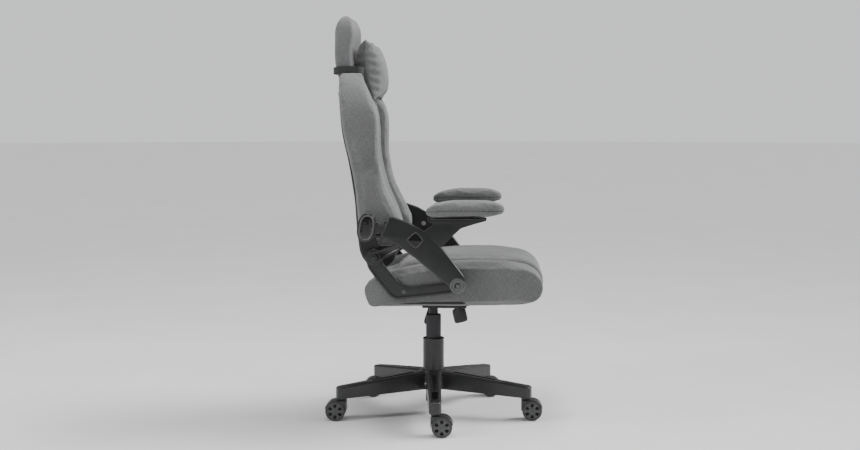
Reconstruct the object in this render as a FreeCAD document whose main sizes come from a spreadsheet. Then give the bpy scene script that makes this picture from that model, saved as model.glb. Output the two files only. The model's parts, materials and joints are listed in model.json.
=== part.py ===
import FreeCAD, Part
import math
import os

from FreeCAD import Placement, Rotation, Vector

# A gaming chair on a five-legged caster base, in millimetres.
# The origin is on the floor under the middle of the base, +Z is up, and the sitter faces -Y,
# so the sitter's right-hand side is -X. Outlines of side profiles are given as (Y, Z).

os.makedirs("parts", exist_ok=True)
doc = FreeCAD.newDocument("GamingChair")

# ---------------------------------------------------------------- driving dimensions

SIZES = {
    "leg_count": 5,
    "first_leg_angle": 183.14,
    "stem_circle": 297,
    "leg_tip_radius": 18,
    "leg_root_width": 46,
    "leg_root_low": 82,
    "leg_root_high": 139,
    "leg_tip_low": 69,
    "leg_tip_high": 106,
    "leg_wall": 4.5,
    "hub_radius": 42,
    "hub_bottom": 80,
    "hub_top": 141,
    "socket_radius": 14,
    "socket_bottom": 64.6,
    "insert_start": 222,
    "insert_end": 288,
    "insert_width": 24,
    "insert_height": 3.2,
    "stem_radius": 5.5,
    "stem_bush_radius": 8,
    "stem_top": 100,
    "caster_trail": 20,
    "wheel_radius": 30.5,
    "wheel_width": 19,
    "wheel_gap": 11,
    "web_width": 9,
    "hood_radius": 33.4,
    "hood_wall": 2,
    "hood_width": 47,
    "neck_radius": 12,
    "axle_radius": 3,
    "running_gap": 0.05,
    "soft_gap": 0.3,
    "column_radius": 23.5,
    "column_wall": 2,
    "column_bottom": 40,
    "column_top": 314,
    "cover_radius": 33.5,
    "cover_wall": 2,
    "cover_top": 240,
    "piston_radius": 14,
    "piston_bore": 11.5,
    "piston_bottom": 75,
    "piston_top": 358,
    "rod_radius": 5,
    "rod_bottom": 34,
    "rod_top": 330,
    "tilt_pivot_forward": 50,
    "tilt_pivot_height": 360,
    "tilt_shaft_radius": 6,
    "bracket_half_width": 34,
    "bracket_wall": 3,
    "spring_seat_height": 347,
    "box_half_width": 42,
    "box_wall": 3,
    "box_bottom": 346,
    "box_top": 384,
    "box_front": 112,
    "box_rear": 70,
    "knob_radius": 22,
    "knob_height": 42,
    "knob_forward": 78,
    "knob_top": 331,
    "knob_lean": 13,
    "bolt_radius": 4,
    "lever_height": 367.5,
    "lever_rod_radius": 4,
    "lever_reach": 150,
    "lever_droop": 57,
    "lever_lean": 12,
    "lever_pin_x": 52,
    "lever_pin_radius": 1.5,
    "seat_half_width": 249.5,
    "centre_half_width": 150,
    "board_bottom": 388,
    "board_thickness": 12,
    "side_plate_inner": 250.3,
    "side_plate_thickness": 4,
    "seat_bracket_inner": 254.6,
    "seat_bracket_outer": 263,
    "arm_inner": 272,
    "arm_outer": 293,
    "arm_pivot_y": -81,
    "arm_pivot_z": 444,
    "recline_y": 166,
    "recline_z": 522,
    "release_pivot_y": 117,
    "release_pivot_z": 446,
    "slot_pin_y": 43,
    "slot_pin_z": 575,
    "back_pin_y": 184,
    "back_pin_z": 612,
    "back_pin_radius": 9,
    "link_slope": 14.3,
    "eye_lean": 9.5,
    "pad_centre": 275.6,
    "pad_half_width": 43,
    "back_plate_inner": 245.5,
    "back_half_width": 258,
    "head_half_width": 145,
    "pillow_half_width": 124,
    "strap_low": 1058,
    "strap_width": 18,
    "strap_thickness": 2,
}

sheet = doc.addObject("Spreadsheet::Sheet", "Sizes")
for row, (alias, value) in enumerate(SIZES.items(), start=1):
    sheet.set(f"A{row}", alias)
    sheet.set(f"B{row}", str(value))
    sheet.setAlias(f"B{row}", alias)
doc.recompute()


def size(alias):
    """The number in the sheet's cell of that name."""
    return float(sheet.get(alias))


def linked(formula):
    """A formula in cell names, written the way an expression reads them."""
    text = str(formula)
    for alias in sorted(SIZES, key=len, reverse=True):
        text = text.replace(alias, f"<{list(SIZES).index(alias)}>")
    for index, alias in enumerate(SIZES):
        text = text.replace(f"<{index}>", f"Sizes.{alias}")
    return text


NODES = []


def node(item, label):
    """Names an object as a finished sub-part."""
    item.Label = label
    NODES.append(item)
    return item


# ---------------------------------------------------------------- shape helpers

def primitive(kind, name, at=(0, 0, 0), turn=None, **sizes):
    """A Part primitive whose sizes and position are bound to formulas in cell names."""
    item = doc.addObject("Part::" + kind, name)
    for prop, formula in sizes.items():
        item.setExpression(prop, linked(formula))
    if turn is not None:
        item.Placement = Placement(Vector(), turn)
    for axis, formula in zip("xyz", at):
        item.setExpression("Placement.Base." + axis, linked(formula))
    return item


def cylinder(name, radius, height, at, turn=None):
    return primitive("Cylinder", name, at, turn, Radius=radius, Height=height)


def block(name, x, y, z):
    """A box between two formulas on each axis."""
    return primitive("Box", name, (x[0], y[0], z[0]),
                     Length=f"({x[1]}) - ({x[0]})", Width=f"({y[1]}) - ({y[0]})",
                     Height=f"({z[1]}) - ({z[0]})")


def fuse(name, *items):
    item = doc.addObject("Part::MultiFuse", name)
    item.Shapes = list(items)
    return item


def common(name, *items):
    item = doc.addObject("Part::MultiCommon", name)
    item.Shapes = list(items)
    return item


def cut(name, base, *tools):
    item = doc.addObject("Part::Cut", name)
    item.Base = base
    item.Tool = tools[0] if len(tools) == 1 else fuse(name + "_tools", *tools)
    return item


def group(name, *items):
    """Separate solids kept as one node."""
    item = doc.addObject("Part::Compound", name)
    item.Links = list(items)
    return item


ALONG_X = Rotation(Vector(0, 1, 0), 90)
ALONG_Y = Rotation(Vector(1, 0, 0), -90)
SIDE_PLANE = Rotation(Vector(1, 1, 1), 120)
FRONT_PLANE = Rotation(Vector(1, 0, 0), 90)
LEVEL_PLANE = Rotation()


def vector(point):
    return Vector(point[0], point[1], 0)


def rounded(corners):
    """Lines and tangent arcs round a closed outline. A corner is (across, up) or (across, up, radius)."""
    geometry = []
    stops = []
    total = len(corners)
    for index, corner in enumerate(corners):
        here = vector(corner)
        before = vector(corners[index - 1])
        after = vector(corners[(index + 1) % total])
        radius = corner[2] if len(corner) > 2 else 0
        to_before = (before - here).normalize()
        to_after = (after - here).normalize()
        half_angle = to_before.getAngle(to_after) / 2
        if radius == 0:
            stops.append((here, here))
            continue
        setback = radius / math.tan(half_angle)
        first = here + to_before * setback
        last = here + to_after * setback
        middle_way = (to_before + to_after).normalize()
        middle = here + middle_way * (radius / math.sin(half_angle) - radius)
        geometry.append(Part.Arc(first, middle, last))
        stops.append((first, last))
    for index, (first, last) in enumerate(stops):
        following = stops[(index + 1) % total][0]
        if last.distanceToPoint(following) > 1e-6:
            geometry.append(Part.LineSegment(last, following))
    return geometry


def curve(points):
    """One smooth curve through points."""
    spline = Part.BSplineCurve()
    spline.interpolate([vector(point) for point in points])
    return spline


def loop(*runs):
    """A closed outline of smooth runs whose ends are joined by lines."""
    geometry = []
    for index, run in enumerate(runs):
        geometry.append(curve(run))
        start = vector(runs[(index + 1) % len(runs)][0])
        end = vector(run[-1])
        if end.distanceToPoint(start) > 1e-6:
            geometry.append(Part.LineSegment(end, start))
    return geometry


def band(centre_line, half_thickness):
    """The outline of a strip that follows a line of points."""
    front = []
    rear = []
    for index, point in enumerate(centre_line):
        before = vector(centre_line[max(index - 1, 0)])
        after = vector(centre_line[min(index + 1, len(centre_line) - 1)])
        along = (after - before).normalize()
        normal = Vector(-along.y, along.x, 0) * half_thickness
        front.append(tuple(vector(point) + normal)[:2])
        rear.append(tuple(vector(point) - normal)[:2])
    return loop(front, rear[::-1])


def extrude(name, geometry, plane, start, length):
    """A sketch of the outline, pushed out along the plane's normal from start by length."""
    sketch = doc.addObject("Sketcher::SketchObject", name + "_sketch")
    normal = plane.multVec(Vector(0, 0, 1))
    sketch.addGeometry(geometry, False)
    sketch.Placement = Placement(normal * evaluate(start), plane)
    item = doc.addObject("Part::Extrusion", name)
    item.Base = sketch
    item.DirMode = "Custom"
    item.Dir = normal
    item.Solid = True
    item.setExpression("LengthFwd", linked(length))
    return item


def evaluate(formula):
    """The value of a formula in cell names, worked out by the sheet."""
    sheet.set("D1", "=" + linked(formula).replace("Sizes.", ""))
    doc.recompute([sheet])
    return float(sheet.get("D1"))


def side_slab(name, geometry, side, inner, outer):
    """A side profile pushed out between two distances from the middle, on one side of the chair."""
    start = inner if side > 0 else f"-({outer})"
    return extrude(name, geometry, SIDE_PLANE, start, f"({outer}) - ({inner})")


def middle_slab(name, geometry, half_width):
    """A side profile pushed out to both sides of the middle."""
    return extrude(name, geometry, SIDE_PLANE, f"-({half_width})", f"2 * ({half_width})")


def ring(name, outer, inner, bottom, height):
    """An upright tube on the chair's axis."""
    shell = cylinder(name + "_outer", outer, height, (0, 0, bottom))
    bore = cylinder(name + "_bore", inner, f"({height}) + 2", (0, 0, f"({bottom}) - 1"))
    return cut(name, shell, bore)


def radial(angle, distance, across, height):
    """A point given by its leg's angle, its distance from the axis and its offset across the leg."""
    turn = math.radians(angle)
    x = distance * math.cos(turn) - across * math.sin(turn)
    y = distance * math.sin(turn) + across * math.cos(turn)
    return Vector(x, y, height)


LEG_ANGLES = [size("first_leg_angle") + 360 / size("leg_count") * index for index in range(int(size("leg_count")))]
SIDES = {"right": -1, "left": 1}


# ---------------------------------------------------------------- star base

def leg_section(name, angle, distance, width, low, high, bevel):
    """An upright cross-section of a leg, square to the leg."""
    sketch = doc.addObject("Sketcher::SketchObject", name)
    half = width / 2
    corners = [(-half, low), (half, low), (half, high, bevel), (-half, high, bevel)]
    sketch.addGeometry(rounded(corners), False)
    upright = Rotation(Vector(0, 0, 1), angle + 90) * FRONT_PLANE
    sketch.Placement = Placement(radial(angle, distance, 0, 0), upright)
    return sketch


def tapered_leg(name, angle, start, end, margin, drop):
    """A leg from the hub to its tip, or the hollow under it when a margin is taken off."""
    loft = doc.addObject("Part::Loft", name)
    root_width = size("leg_root_width") - 2 * margin
    tip_width = 2 * size("leg_tip_radius") - 2 * margin
    root = leg_section(name + "_root", angle, start, root_width,
                       size("leg_root_low") - drop, size("leg_root_high") - margin, 7)
    tip = leg_section(name + "_tip", angle, end, tip_width,
                      size("leg_tip_low") - drop, size("leg_tip_high") - margin, 6)
    loft.Sections = [root, tip]
    loft.Solid = True
    loft.Ruled = True
    return loft


def leg_top_height(distance):
    """The height of a leg's sloping top at a distance from the axis."""
    root = size("hub_radius") / 2
    share = (distance - root) / (size("stem_circle") - root)
    return size("leg_root_high") + share * (size("leg_tip_high") - size("leg_root_high"))


def top_pad(name, angle, start, end, width, low, high):
    """A block that follows the slope of a leg's top between two distances from the axis."""
    item = doc.addObject("Part::Box", name)
    slope = math.degrees(math.atan2(leg_top_height(start) - leg_top_height(end), end - start))
    item.Length = (end - start) / math.cos(math.radians(slope))
    item.Width = width
    item.Height = high - low
    turn = Rotation(Vector(0, 0, 1), angle) * Rotation(Vector(0, 1, 0), slope)
    corner = radial(angle, start, -width / 2, leg_top_height(start)) + turn.multVec(Vector(0, 0, low))
    item.Placement = Placement(corner, turn)
    return item


def star_base():
    solids = [cylinder("hub", "hub_radius", "hub_top - hub_bottom", (0, 0, "hub_bottom"))]
    hollows = [cylinder("hub_bore", "column_radius + running_gap", "hub_top", (0, 0, "column_bottom"))]
    inserts = []
    bushes = []
    recess = 2
    groove_width = 13
    for index, angle in enumerate(LEG_ANGLES, start=1):
        stem = radial(angle, size("stem_circle"), 0, 0)
        solids.append(tapered_leg(f"leg_{index}", angle, size("hub_radius") / 2, size("stem_circle"), 0, 0))
        hollows.append(tapered_leg(f"hollow_{index}", angle, size("hub_radius") + 6,
                                   size("stem_circle") - 22, size("leg_wall"), 20))
        solids.append(cylinder(f"tip_{index}", "leg_tip_radius", "leg_tip_high - leg_tip_low - 2",
                               (stem.x, stem.y, "leg_tip_low")))
        solids.append(cylinder(f"socket_{index}", "socket_radius", "leg_tip_low + 10 - socket_bottom",
                               (stem.x, stem.y, "socket_bottom")))
        hollows.append(cylinder(f"socket_bore_{index}", "stem_bush_radius",
                                "stem_top + 0.5 - socket_bottom + 1",
                                (stem.x, stem.y, "socket_bottom - 1")))
        hollows.append(top_pad(f"groove_{index}", angle, 72, 206, groove_width, -recess, 20))
        hollows.append(top_pad(f"recess_{index}", angle, size("insert_start"), size("insert_end"),
                               size("insert_width"), -recess, 20))
        inserts.append(top_pad(f"insert_{index}", angle, size("insert_start"), size("insert_end"),
                               size("insert_width"), -recess, size("insert_height") - recess))
        bush = cylinder(f"bush_{index}", "stem_bush_radius", "stem_top - socket_bottom",
                        (stem.x, stem.y, "socket_bottom + 0.2"))
        bore = cylinder(f"bush_bore_{index}", "stem_radius + running_gap", "stem_top",
                        (stem.x, stem.y, "socket_bottom - 1"))
        bushes.append(cut(f"stem_bush_{index}", bush, bore))
    node(cut("base", fuse("base_solid", *solids), *hollows), "star_base")
    node(group("inserts", *inserts), "leg_inserts")
    node(group("bushes", *bushes), "stem_sockets")


# ---------------------------------------------------------------- gas lift column

def gas_column():
    tube = ring("column", "column_radius", "column_radius - column_wall", "column_bottom",
                "column_top - column_bottom")
    floor = ring("column_floor", "column_radius - column_wall / 2", "rod_radius + 1", "column_bottom", "4")
    node(fuse("column_body", tube, floor), "column_tube")
    node(ring("sleeve", "column_radius - column_wall - running_gap", "piston_radius + running_gap",
              "column_top - 112", "110"), "guide_sleeve")
    node(ring("bearing", "18", "rod_radius + 0.5", "column_bottom + 4", "6"), "thrust_bearing")
    node(ring("outer_cover", "cover_radius", "cover_radius - cover_wall", "hub_top", "cover_top - hub_top"),
         "cover_lower")
    node(ring("inner_cover", "cover_radius - cover_wall - 0.6", "cover_radius - 2 * cover_wall - 0.6",
              "hub_top + 0.2", "cover_top - hub_top - 4"), "cover_middle")

    rod = cylinder("rod", "rod_radius", "rod_top - rod_bottom", (0, 0, "rod_bottom"))
    head = cylinder("rod_head", "piston_bore - running_gap", "12", (0, 0, "rod_top - 12"))
    collar = cylinder("rod_collar", "rod_radius + 5", "5", (0, 0, "column_bottom + 10.2"))
    node(fuse("rod_body", rod, head, collar), "piston_rod")
    node(ring("clip", "rod_radius + 4.5", "rod_radius", "rod_bottom + 1", "2.5"), "retaining_clip")

    barrel = cylinder("barrel", "piston_radius", "piston_top - piston_bottom", (0, 0, "piston_bottom"))
    chamber = cylinder("chamber", "piston_bore", "piston_top - piston_bottom - 14",
                       (0, 0, "piston_bottom + 6"))
    rod_hole = cylinder("rod_hole", "rod_radius + running_gap", "10", (0, 0, "piston_bottom - 1"))
    node(cut("barrel_body", barrel, chamber, rod_hole), "gas_cylinder")


# ---------------------------------------------------------------- tilt mechanism

def across_shaft(name, radius, half_length, y, z):
    """A round bar from side to side."""
    return cylinder(name, radius, f"2 * ({half_length})", (f"-({half_length})", y, z), ALONG_X)


def leaning_cylinder(name, radius, low, high, foot, lean):
    """A cylinder along the tension bolt, from low to high above a foot point that leans forward."""
    item = doc.addObject("Part::Cylinder", name)
    item.setExpression("Radius", linked(radius))
    item.Height = high - low
    turn = Rotation(Vector(1, 0, 0), -lean)
    item.Placement = Placement(foot + turn.multVec(Vector(0, 0, low)), turn)
    return item


def tilt_mechanism():
    pivot_y = "-tilt_pivot_forward"
    outer = block("bracket_outer", ("-bracket_half_width", "bracket_half_width"), ("-104", "34"),
                  ("338", "361"))
    inner = block("bracket_inner", ("bracket_wall - bracket_half_width", "bracket_half_width - bracket_wall"),
                  ("-110", "34 - bracket_wall"), ("341", "400"))
    taper = cylinder("taper_sleeve", "piston_radius + 6", "piston_top - 339", (0, 0, 339))
    pivot_boss = across_shaft("pivot_boss", "tilt_shaft_radius + 5", "bracket_half_width", pivot_y,
                              "tilt_pivot_height")
    bracket_bore = cylinder("taper_bore", "piston_radius", "60", (0, 0, 330))
    pivot_bore = across_shaft("pivot_bore", "tilt_shaft_radius + running_gap", "60", pivot_y,
                              "tilt_pivot_height")
    foot = Vector(0, -size("knob_forward"), size("knob_top"))
    lean = size("knob_lean")
    slot = leaning_cylinder("bolt_slot", "bolt_radius + 6", 0, 40, foot, lean)
    knob_room = block("knob_room", ("bracket_wall - bracket_half_width", "bracket_half_width - bracket_wall"),
                      ("-106", "-57"), ("330", "spring_seat_height"))
    spring_seat = block("spring_seat", ("-bracket_half_width", "bracket_half_width"), ("-104", "-57"),
                        ("spring_seat_height", "spring_seat_height + bracket_wall"))
    body = fuse("bracket_solid", cut("bracket_tray", outer, inner, knob_room), taper, pivot_boss, spring_seat)
    node(cut("bracket_body", body, bracket_bore, pivot_bore, slot), "tilt_bracket")

    box_outer = block("box_outer", ("-box_half_width", "box_half_width"), ("-box_front", "box_rear"),
                      ("box_bottom", "box_top"))
    box_inner = block("box_inner", ("box_wall - box_half_width", "box_half_width - box_wall"),
                      ("box_wall - box_front", "box_rear - box_wall"),
                      ("box_bottom - 1", "box_top - box_wall"))
    flange = block("box_flange", ("-82", "82"), ("-box_front", "box_rear"), ("box_top - 4", "box_top"))
    shaft_hole = across_shaft("box_shaft_hole", "tilt_shaft_radius", "60", pivot_y, "tilt_pivot_height")
    window = block("lever_window", ("box_half_width - 10", "100"), ("-24", "24"),
                   ("box_bottom - 1", "box_top + 1"))
    bolt_hole = leaning_cylinder("bolt_hole", "bolt_radius", 0, 80, foot, lean)
    holes = [cylinder(f"flange_hole_{i}", "bolt_radius", "10", (x, y, "box_top - 8"))
             for i, (x, y) in enumerate(SEAT_BOLTS)]
    shell = cut("box_tray", fuse("box_solid", box_outer, flange), box_inner)
    node(cut("box_body", shell, shaft_hole, window, bolt_hole, *holes), "mechanism_box")
    node(across_shaft("tilt_shaft", "tilt_shaft_radius", "box_half_width + 5", pivot_y, "tilt_pivot_height"),
         "pivot_shaft")

    knob_low = -size("knob_height")
    bolt_stem = leaning_cylinder("bolt_stem", "bolt_radius", knob_low + 4, 52, foot, lean)
    bolt_head = leaning_cylinder("bolt_head", "bolt_radius + 3", knob_low + 0.5, knob_low + 4, foot, lean)
    node(fuse("bolt_body", bolt_stem, bolt_head), "tension_bolt")
    cup = leaning_cylinder("knob_cup", "knob_radius", knob_low, 0, foot, lean)
    cup_bore = leaning_cylinder("knob_bore", "knob_radius - 4", knob_low + 9, 5, foot, lean)
    bolt_bore = leaning_cylinder("knob_bolt_bore", "bolt_radius + running_gap", knob_low - 5, 20, foot, lean)
    head_bore = leaning_cylinder("knob_head_bore", "bolt_radius + 3.1", knob_low - 1, knob_low + 4.1, foot,
                                 lean)
    grips = []
    turn = Rotation(Vector(1, 0, 0), -lean)
    for index in range(12):
        angle = math.radians(30 * index)
        rim = size("knob_radius") + 0.8
        offset = turn.multVec(Vector(rim * math.cos(angle), rim * math.sin(angle), 0))
        grips.append(leaning_cylinder(f"knob_grip_{index}", "2", knob_low - 1, -8, foot + offset, lean))
    node(cut("knob_body", cup, cup_bore, bolt_bore, head_bore, *grips), "tension_knob")

    turns = 5
    wire = 3
    spring_low = knob_low + 9.2 + wire / 2
    spring_high = 10
    helix = Part.makeHelix((spring_high - spring_low) / turns, spring_high - spring_low, 12)
    section = Part.Wire(Part.Circle(Vector(12, 0, 0), Vector(0, 1, 0), wire / 2).toShape())
    coil = Part.Wire(helix).makePipeShell([section], True, True)
    spring = doc.addObject("Part::Feature", "spring_body")
    spring.Shape = coil
    spring.Placement = Placement(foot + turn.multVec(Vector(0, 0, spring_low)), turn)
    node(spring, "tension_spring")


def lift_lever():
    height = "lever_height"
    rod = cylinder("lever_rod_inner", "lever_rod_radius", "lever_reach + 8", (-8, 0, height), ALONG_X)
    elbow = primitive("Sphere", "lever_elbow", ("lever_reach", 0, height), Radius="lever_rod_radius")
    droop = Rotation(Vector(0, 1, 0), 90 + size("lever_droop"))
    lean = Rotation(Vector(1, 0, 0), size("lever_lean"))
    arm = cylinder("lever_rod_outer", "lever_rod_radius", "74", ("lever_reach", 0, height), lean * droop)
    cross_pin = cylinder("lever_cross_pin", "lever_pin_radius", "15", ("lever_pin_x", -7.5, height), ALONG_Y)
    node(fuse("lever_rod_body", rod, elbow, arm, cross_pin), "lever_rod")
    bush = cylinder("lever_bush_outer", "lever_rod_radius + 4", "12", (46, 0, height), ALONG_X)
    bush_bore = cylinder("lever_bush_bore", "lever_rod_radius + 2", "20", (40, 0, height), ALONG_X)
    pin_bore = cylinder("lever_pin_bore", "lever_pin_radius + running_gap", "20",
                        ("lever_pin_x", -10, height),
                        ALONG_Y)
    node(cut("lever_bush", bush, bush_bore, pin_bore), "lever_sleeve")

    turn = lean * droop
    tip = Vector(size("lever_reach"), 0, size("lever_height")) + turn.multVec(Vector(0, 0, 60))
    corners = [(-9, 0, 5), (9, 0, 5), (17, 92, 15), (-17, 92, 15)]
    sketch = doc.addObject("Sketcher::SketchObject", "paddle_sketch")
    sketch.addGeometry(rounded(corners), False)
    flat = Rotation(Vector(1, 1, 1), 120)
    sketch.Placement = Placement(tip + turn.multVec(Vector(-6, 0, 0)), turn * flat)
    paddle = doc.addObject("Part::Extrusion", "paddle")
    paddle.Base = sketch
    paddle.DirMode = "Custom"
    paddle.Dir = turn.multVec(Vector(1, 0, 0))
    paddle.LengthFwd = 12
    paddle.Solid = True
    rod_hole = cylinder("paddle_hole", "lever_rod_radius", "74", ("lever_reach", 0, height), turn)
    node(cut("paddle_body", paddle, rod_hole), "lever_handle")


# ---------------------------------------------------------------- seat

SEAT_BOLTS = [(x, y) for x in (-64, 64) for y in (-82, 55)]

SEAT_PLATE = [(181, 514, 4), (150, 447, 20), (105, 384, 8), (-94, 384, 8), (-112, 452, 18),
              (-66, 462, 20), (-50, 424, 12), (66, 420, 20), (94, 455, 20), (150, 512, 4)]


def seat_frame():
    parts = [block(f"cross_bar_{i}", ("-side_plate_inner - 1", "side_plate_inner + 1"), (y0, y1),
                   ("box_top", "board_bottom")) for i, (y0, y1) in enumerate([("-102", "-62"), ("35", "75")])]
    for word, side in SIDES.items():
        outer = "side_plate_inner + side_plate_thickness"
        parts.append(side_slab(f"side_plate_{word}", rounded(SEAT_PLATE), side, "side_plate_inner", outer))
        start = "side_plate_inner" if side > 0 else f"-({outer})"
        parts.append(cylinder(f"hinge_ear_{word}", "20", "side_plate_thickness",
                              (start, "recline_y", "recline_z"), ALONG_X))
    holes = [cylinder(f"bar_hole_{i}", "bolt_radius", "10", (x, y, "box_top - 3"))
             for i, (x, y) in enumerate(SEAT_BOLTS)]
    holes.append(across_shaft("hinge_hole", "8 + running_gap", "300", "recline_y", "recline_z"))
    holes.append(across_shaft("arm_bolt_hole", "6", "300", "arm_pivot_y", "arm_pivot_z"))
    node(cut("seat_frame_body", fuse("seat_frame_solid", *parts), *holes), "seat_frame")

    board = extrude("board", rounded([(-236, -262, 45), (236, -262, 45), (236, 170, 30), (-236, 170, 30)]),
                    LEVEL_PLANE, "board_bottom", "board_thickness")
    board_holes = [cylinder(f"board_hole_{i}", "bolt_radius", "12", (x, y, "board_bottom - 1"))
                   for i, (x, y) in enumerate(SEAT_BOLTS)]
    node(cut("board_body", board, *board_holes), "seat_board")
    bolts = []
    for index, (x, y) in enumerate(SEAT_BOLTS):
        shank = cylinder(f"seat_bolt_{index}", "bolt_radius", "board_bottom + 10 - box_top + 4",
                         (x, y, "box_top - 4"))
        head = cylinder(f"seat_bolt_head_{index}", "bolt_radius + 3", "4", (x, y, "box_top - 8"))
        bolts.append(fuse(f"seat_bolt_body_{index}", shank, head))
    for word, side in SIDES.items():
        bolts.append(side_shaft(f"arm_bolt_{word}", "6", side, "side_plate_inner", "arm_outer - 2.2",
                                "arm_pivot_y", "arm_pivot_z"))
    node(group("seat_bolts", *bolts), "seat_fasteners")


def seat_cushions():
    low = size("board_bottom") + size("board_thickness") + size("soft_gap")
    front = -268
    centre = loop([(100, low), (106, 450), (86, 493), (40, 508), (-40, 513), (-145, 515), (-250, 511),
                   (-302, 499),
                   (-328, 476), (-341, 445), (-339, 412), (-328, 390), (-310, 378), (-290, 375),
                   (front, 376)],
                  [(front, 376), (front, low)])
    node(middle_slab("seat_centre", centre, "centre_half_width"), "seat_cushion")
    bolster = loop([(184, low), (193, 430), (177, 452), (116, 478), (50, 492), (-30, 502), (-145, 507),
                    (-250, 503),
                    (-298, 491), (-324, 470), (-334, 440), (-331, 412), (-319, 392), (-300, 383),
                    (front, 383)],
                   [(front, 383), (front, low)])
    for word, side in SIDES.items():
        node(side_slab(f"seat_side_{word}", bolster, side, "centre_half_width + soft_gap", "seat_half_width"),
             f"seat_bolster_{word}")


# ---------------------------------------------------------------- arm linkage

ARM_BRACKET = [(190, 517, 6), (160, 460, 30), (108, 397, 22), (-98, 425, 4), (-85, 462, 4), (-47, 447, 10),
               (68, 434, 22), (98, 457, 25), (142, 510, 6)]
ARM = [(-104, 452, 8), (-98, 478, 30), (-60, 524, 60), (-33, 560, 8), (-50, 585, 14), (-76, 610, 14),
       (-118, 624, 20), (-165, 637, 2), (-165, 644, 1), (-4, 640, 1), (-4, 624, 12), (14, 600, 14),
       (64, 628, 30), (123, 646, 6), (140, 584, 6), (92, 562, 30), (30, 515, 60), (-34, 459, 30),
       (-70, 424, 10)]
SLOT_TRAVEL = 13


def link_point(along, across):
    """A point of the sliding link in its own directions, measured from the eye: along runs into the arm."""
    slope = math.radians(size("link_slope"))
    y = size("back_pin_y") - along * math.cos(slope) - across * math.sin(slope)
    z = size("back_pin_z") - along * math.sin(slope) + across * math.cos(slope)
    return (y, z)


def strip(start, end, half_width):
    """The outline of a straight bar of the sliding link."""
    corners = [link_point(start, -half_width), link_point(end, -half_width),
               link_point(end, half_width), link_point(start, half_width)]
    return rounded(corners)


def eye_outline(half_width, half_height):
    """An upright oval round the back's pin, leaning forward at the top."""
    lean = math.radians(size("eye_lean"))
    corners = []
    for across, up in ((-1, -1), (1, -1), (1, 1), (-1, 1)):
        x = across * half_width
        z = up * half_height
        corners.append((size("back_pin_y") + x * math.cos(lean) - z * math.sin(lean),
                        size("back_pin_z") + x * math.sin(lean) + z * math.cos(lean), half_width - 0.5))
    return rounded(corners)


def side_shaft(name, radius, side, inner, outer, y, z):
    start = inner if side > 0 else f"-({outer})"
    return cylinder(name, radius, f"({outer}) - ({inner})", (start, y, z), ALONG_X)


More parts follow.
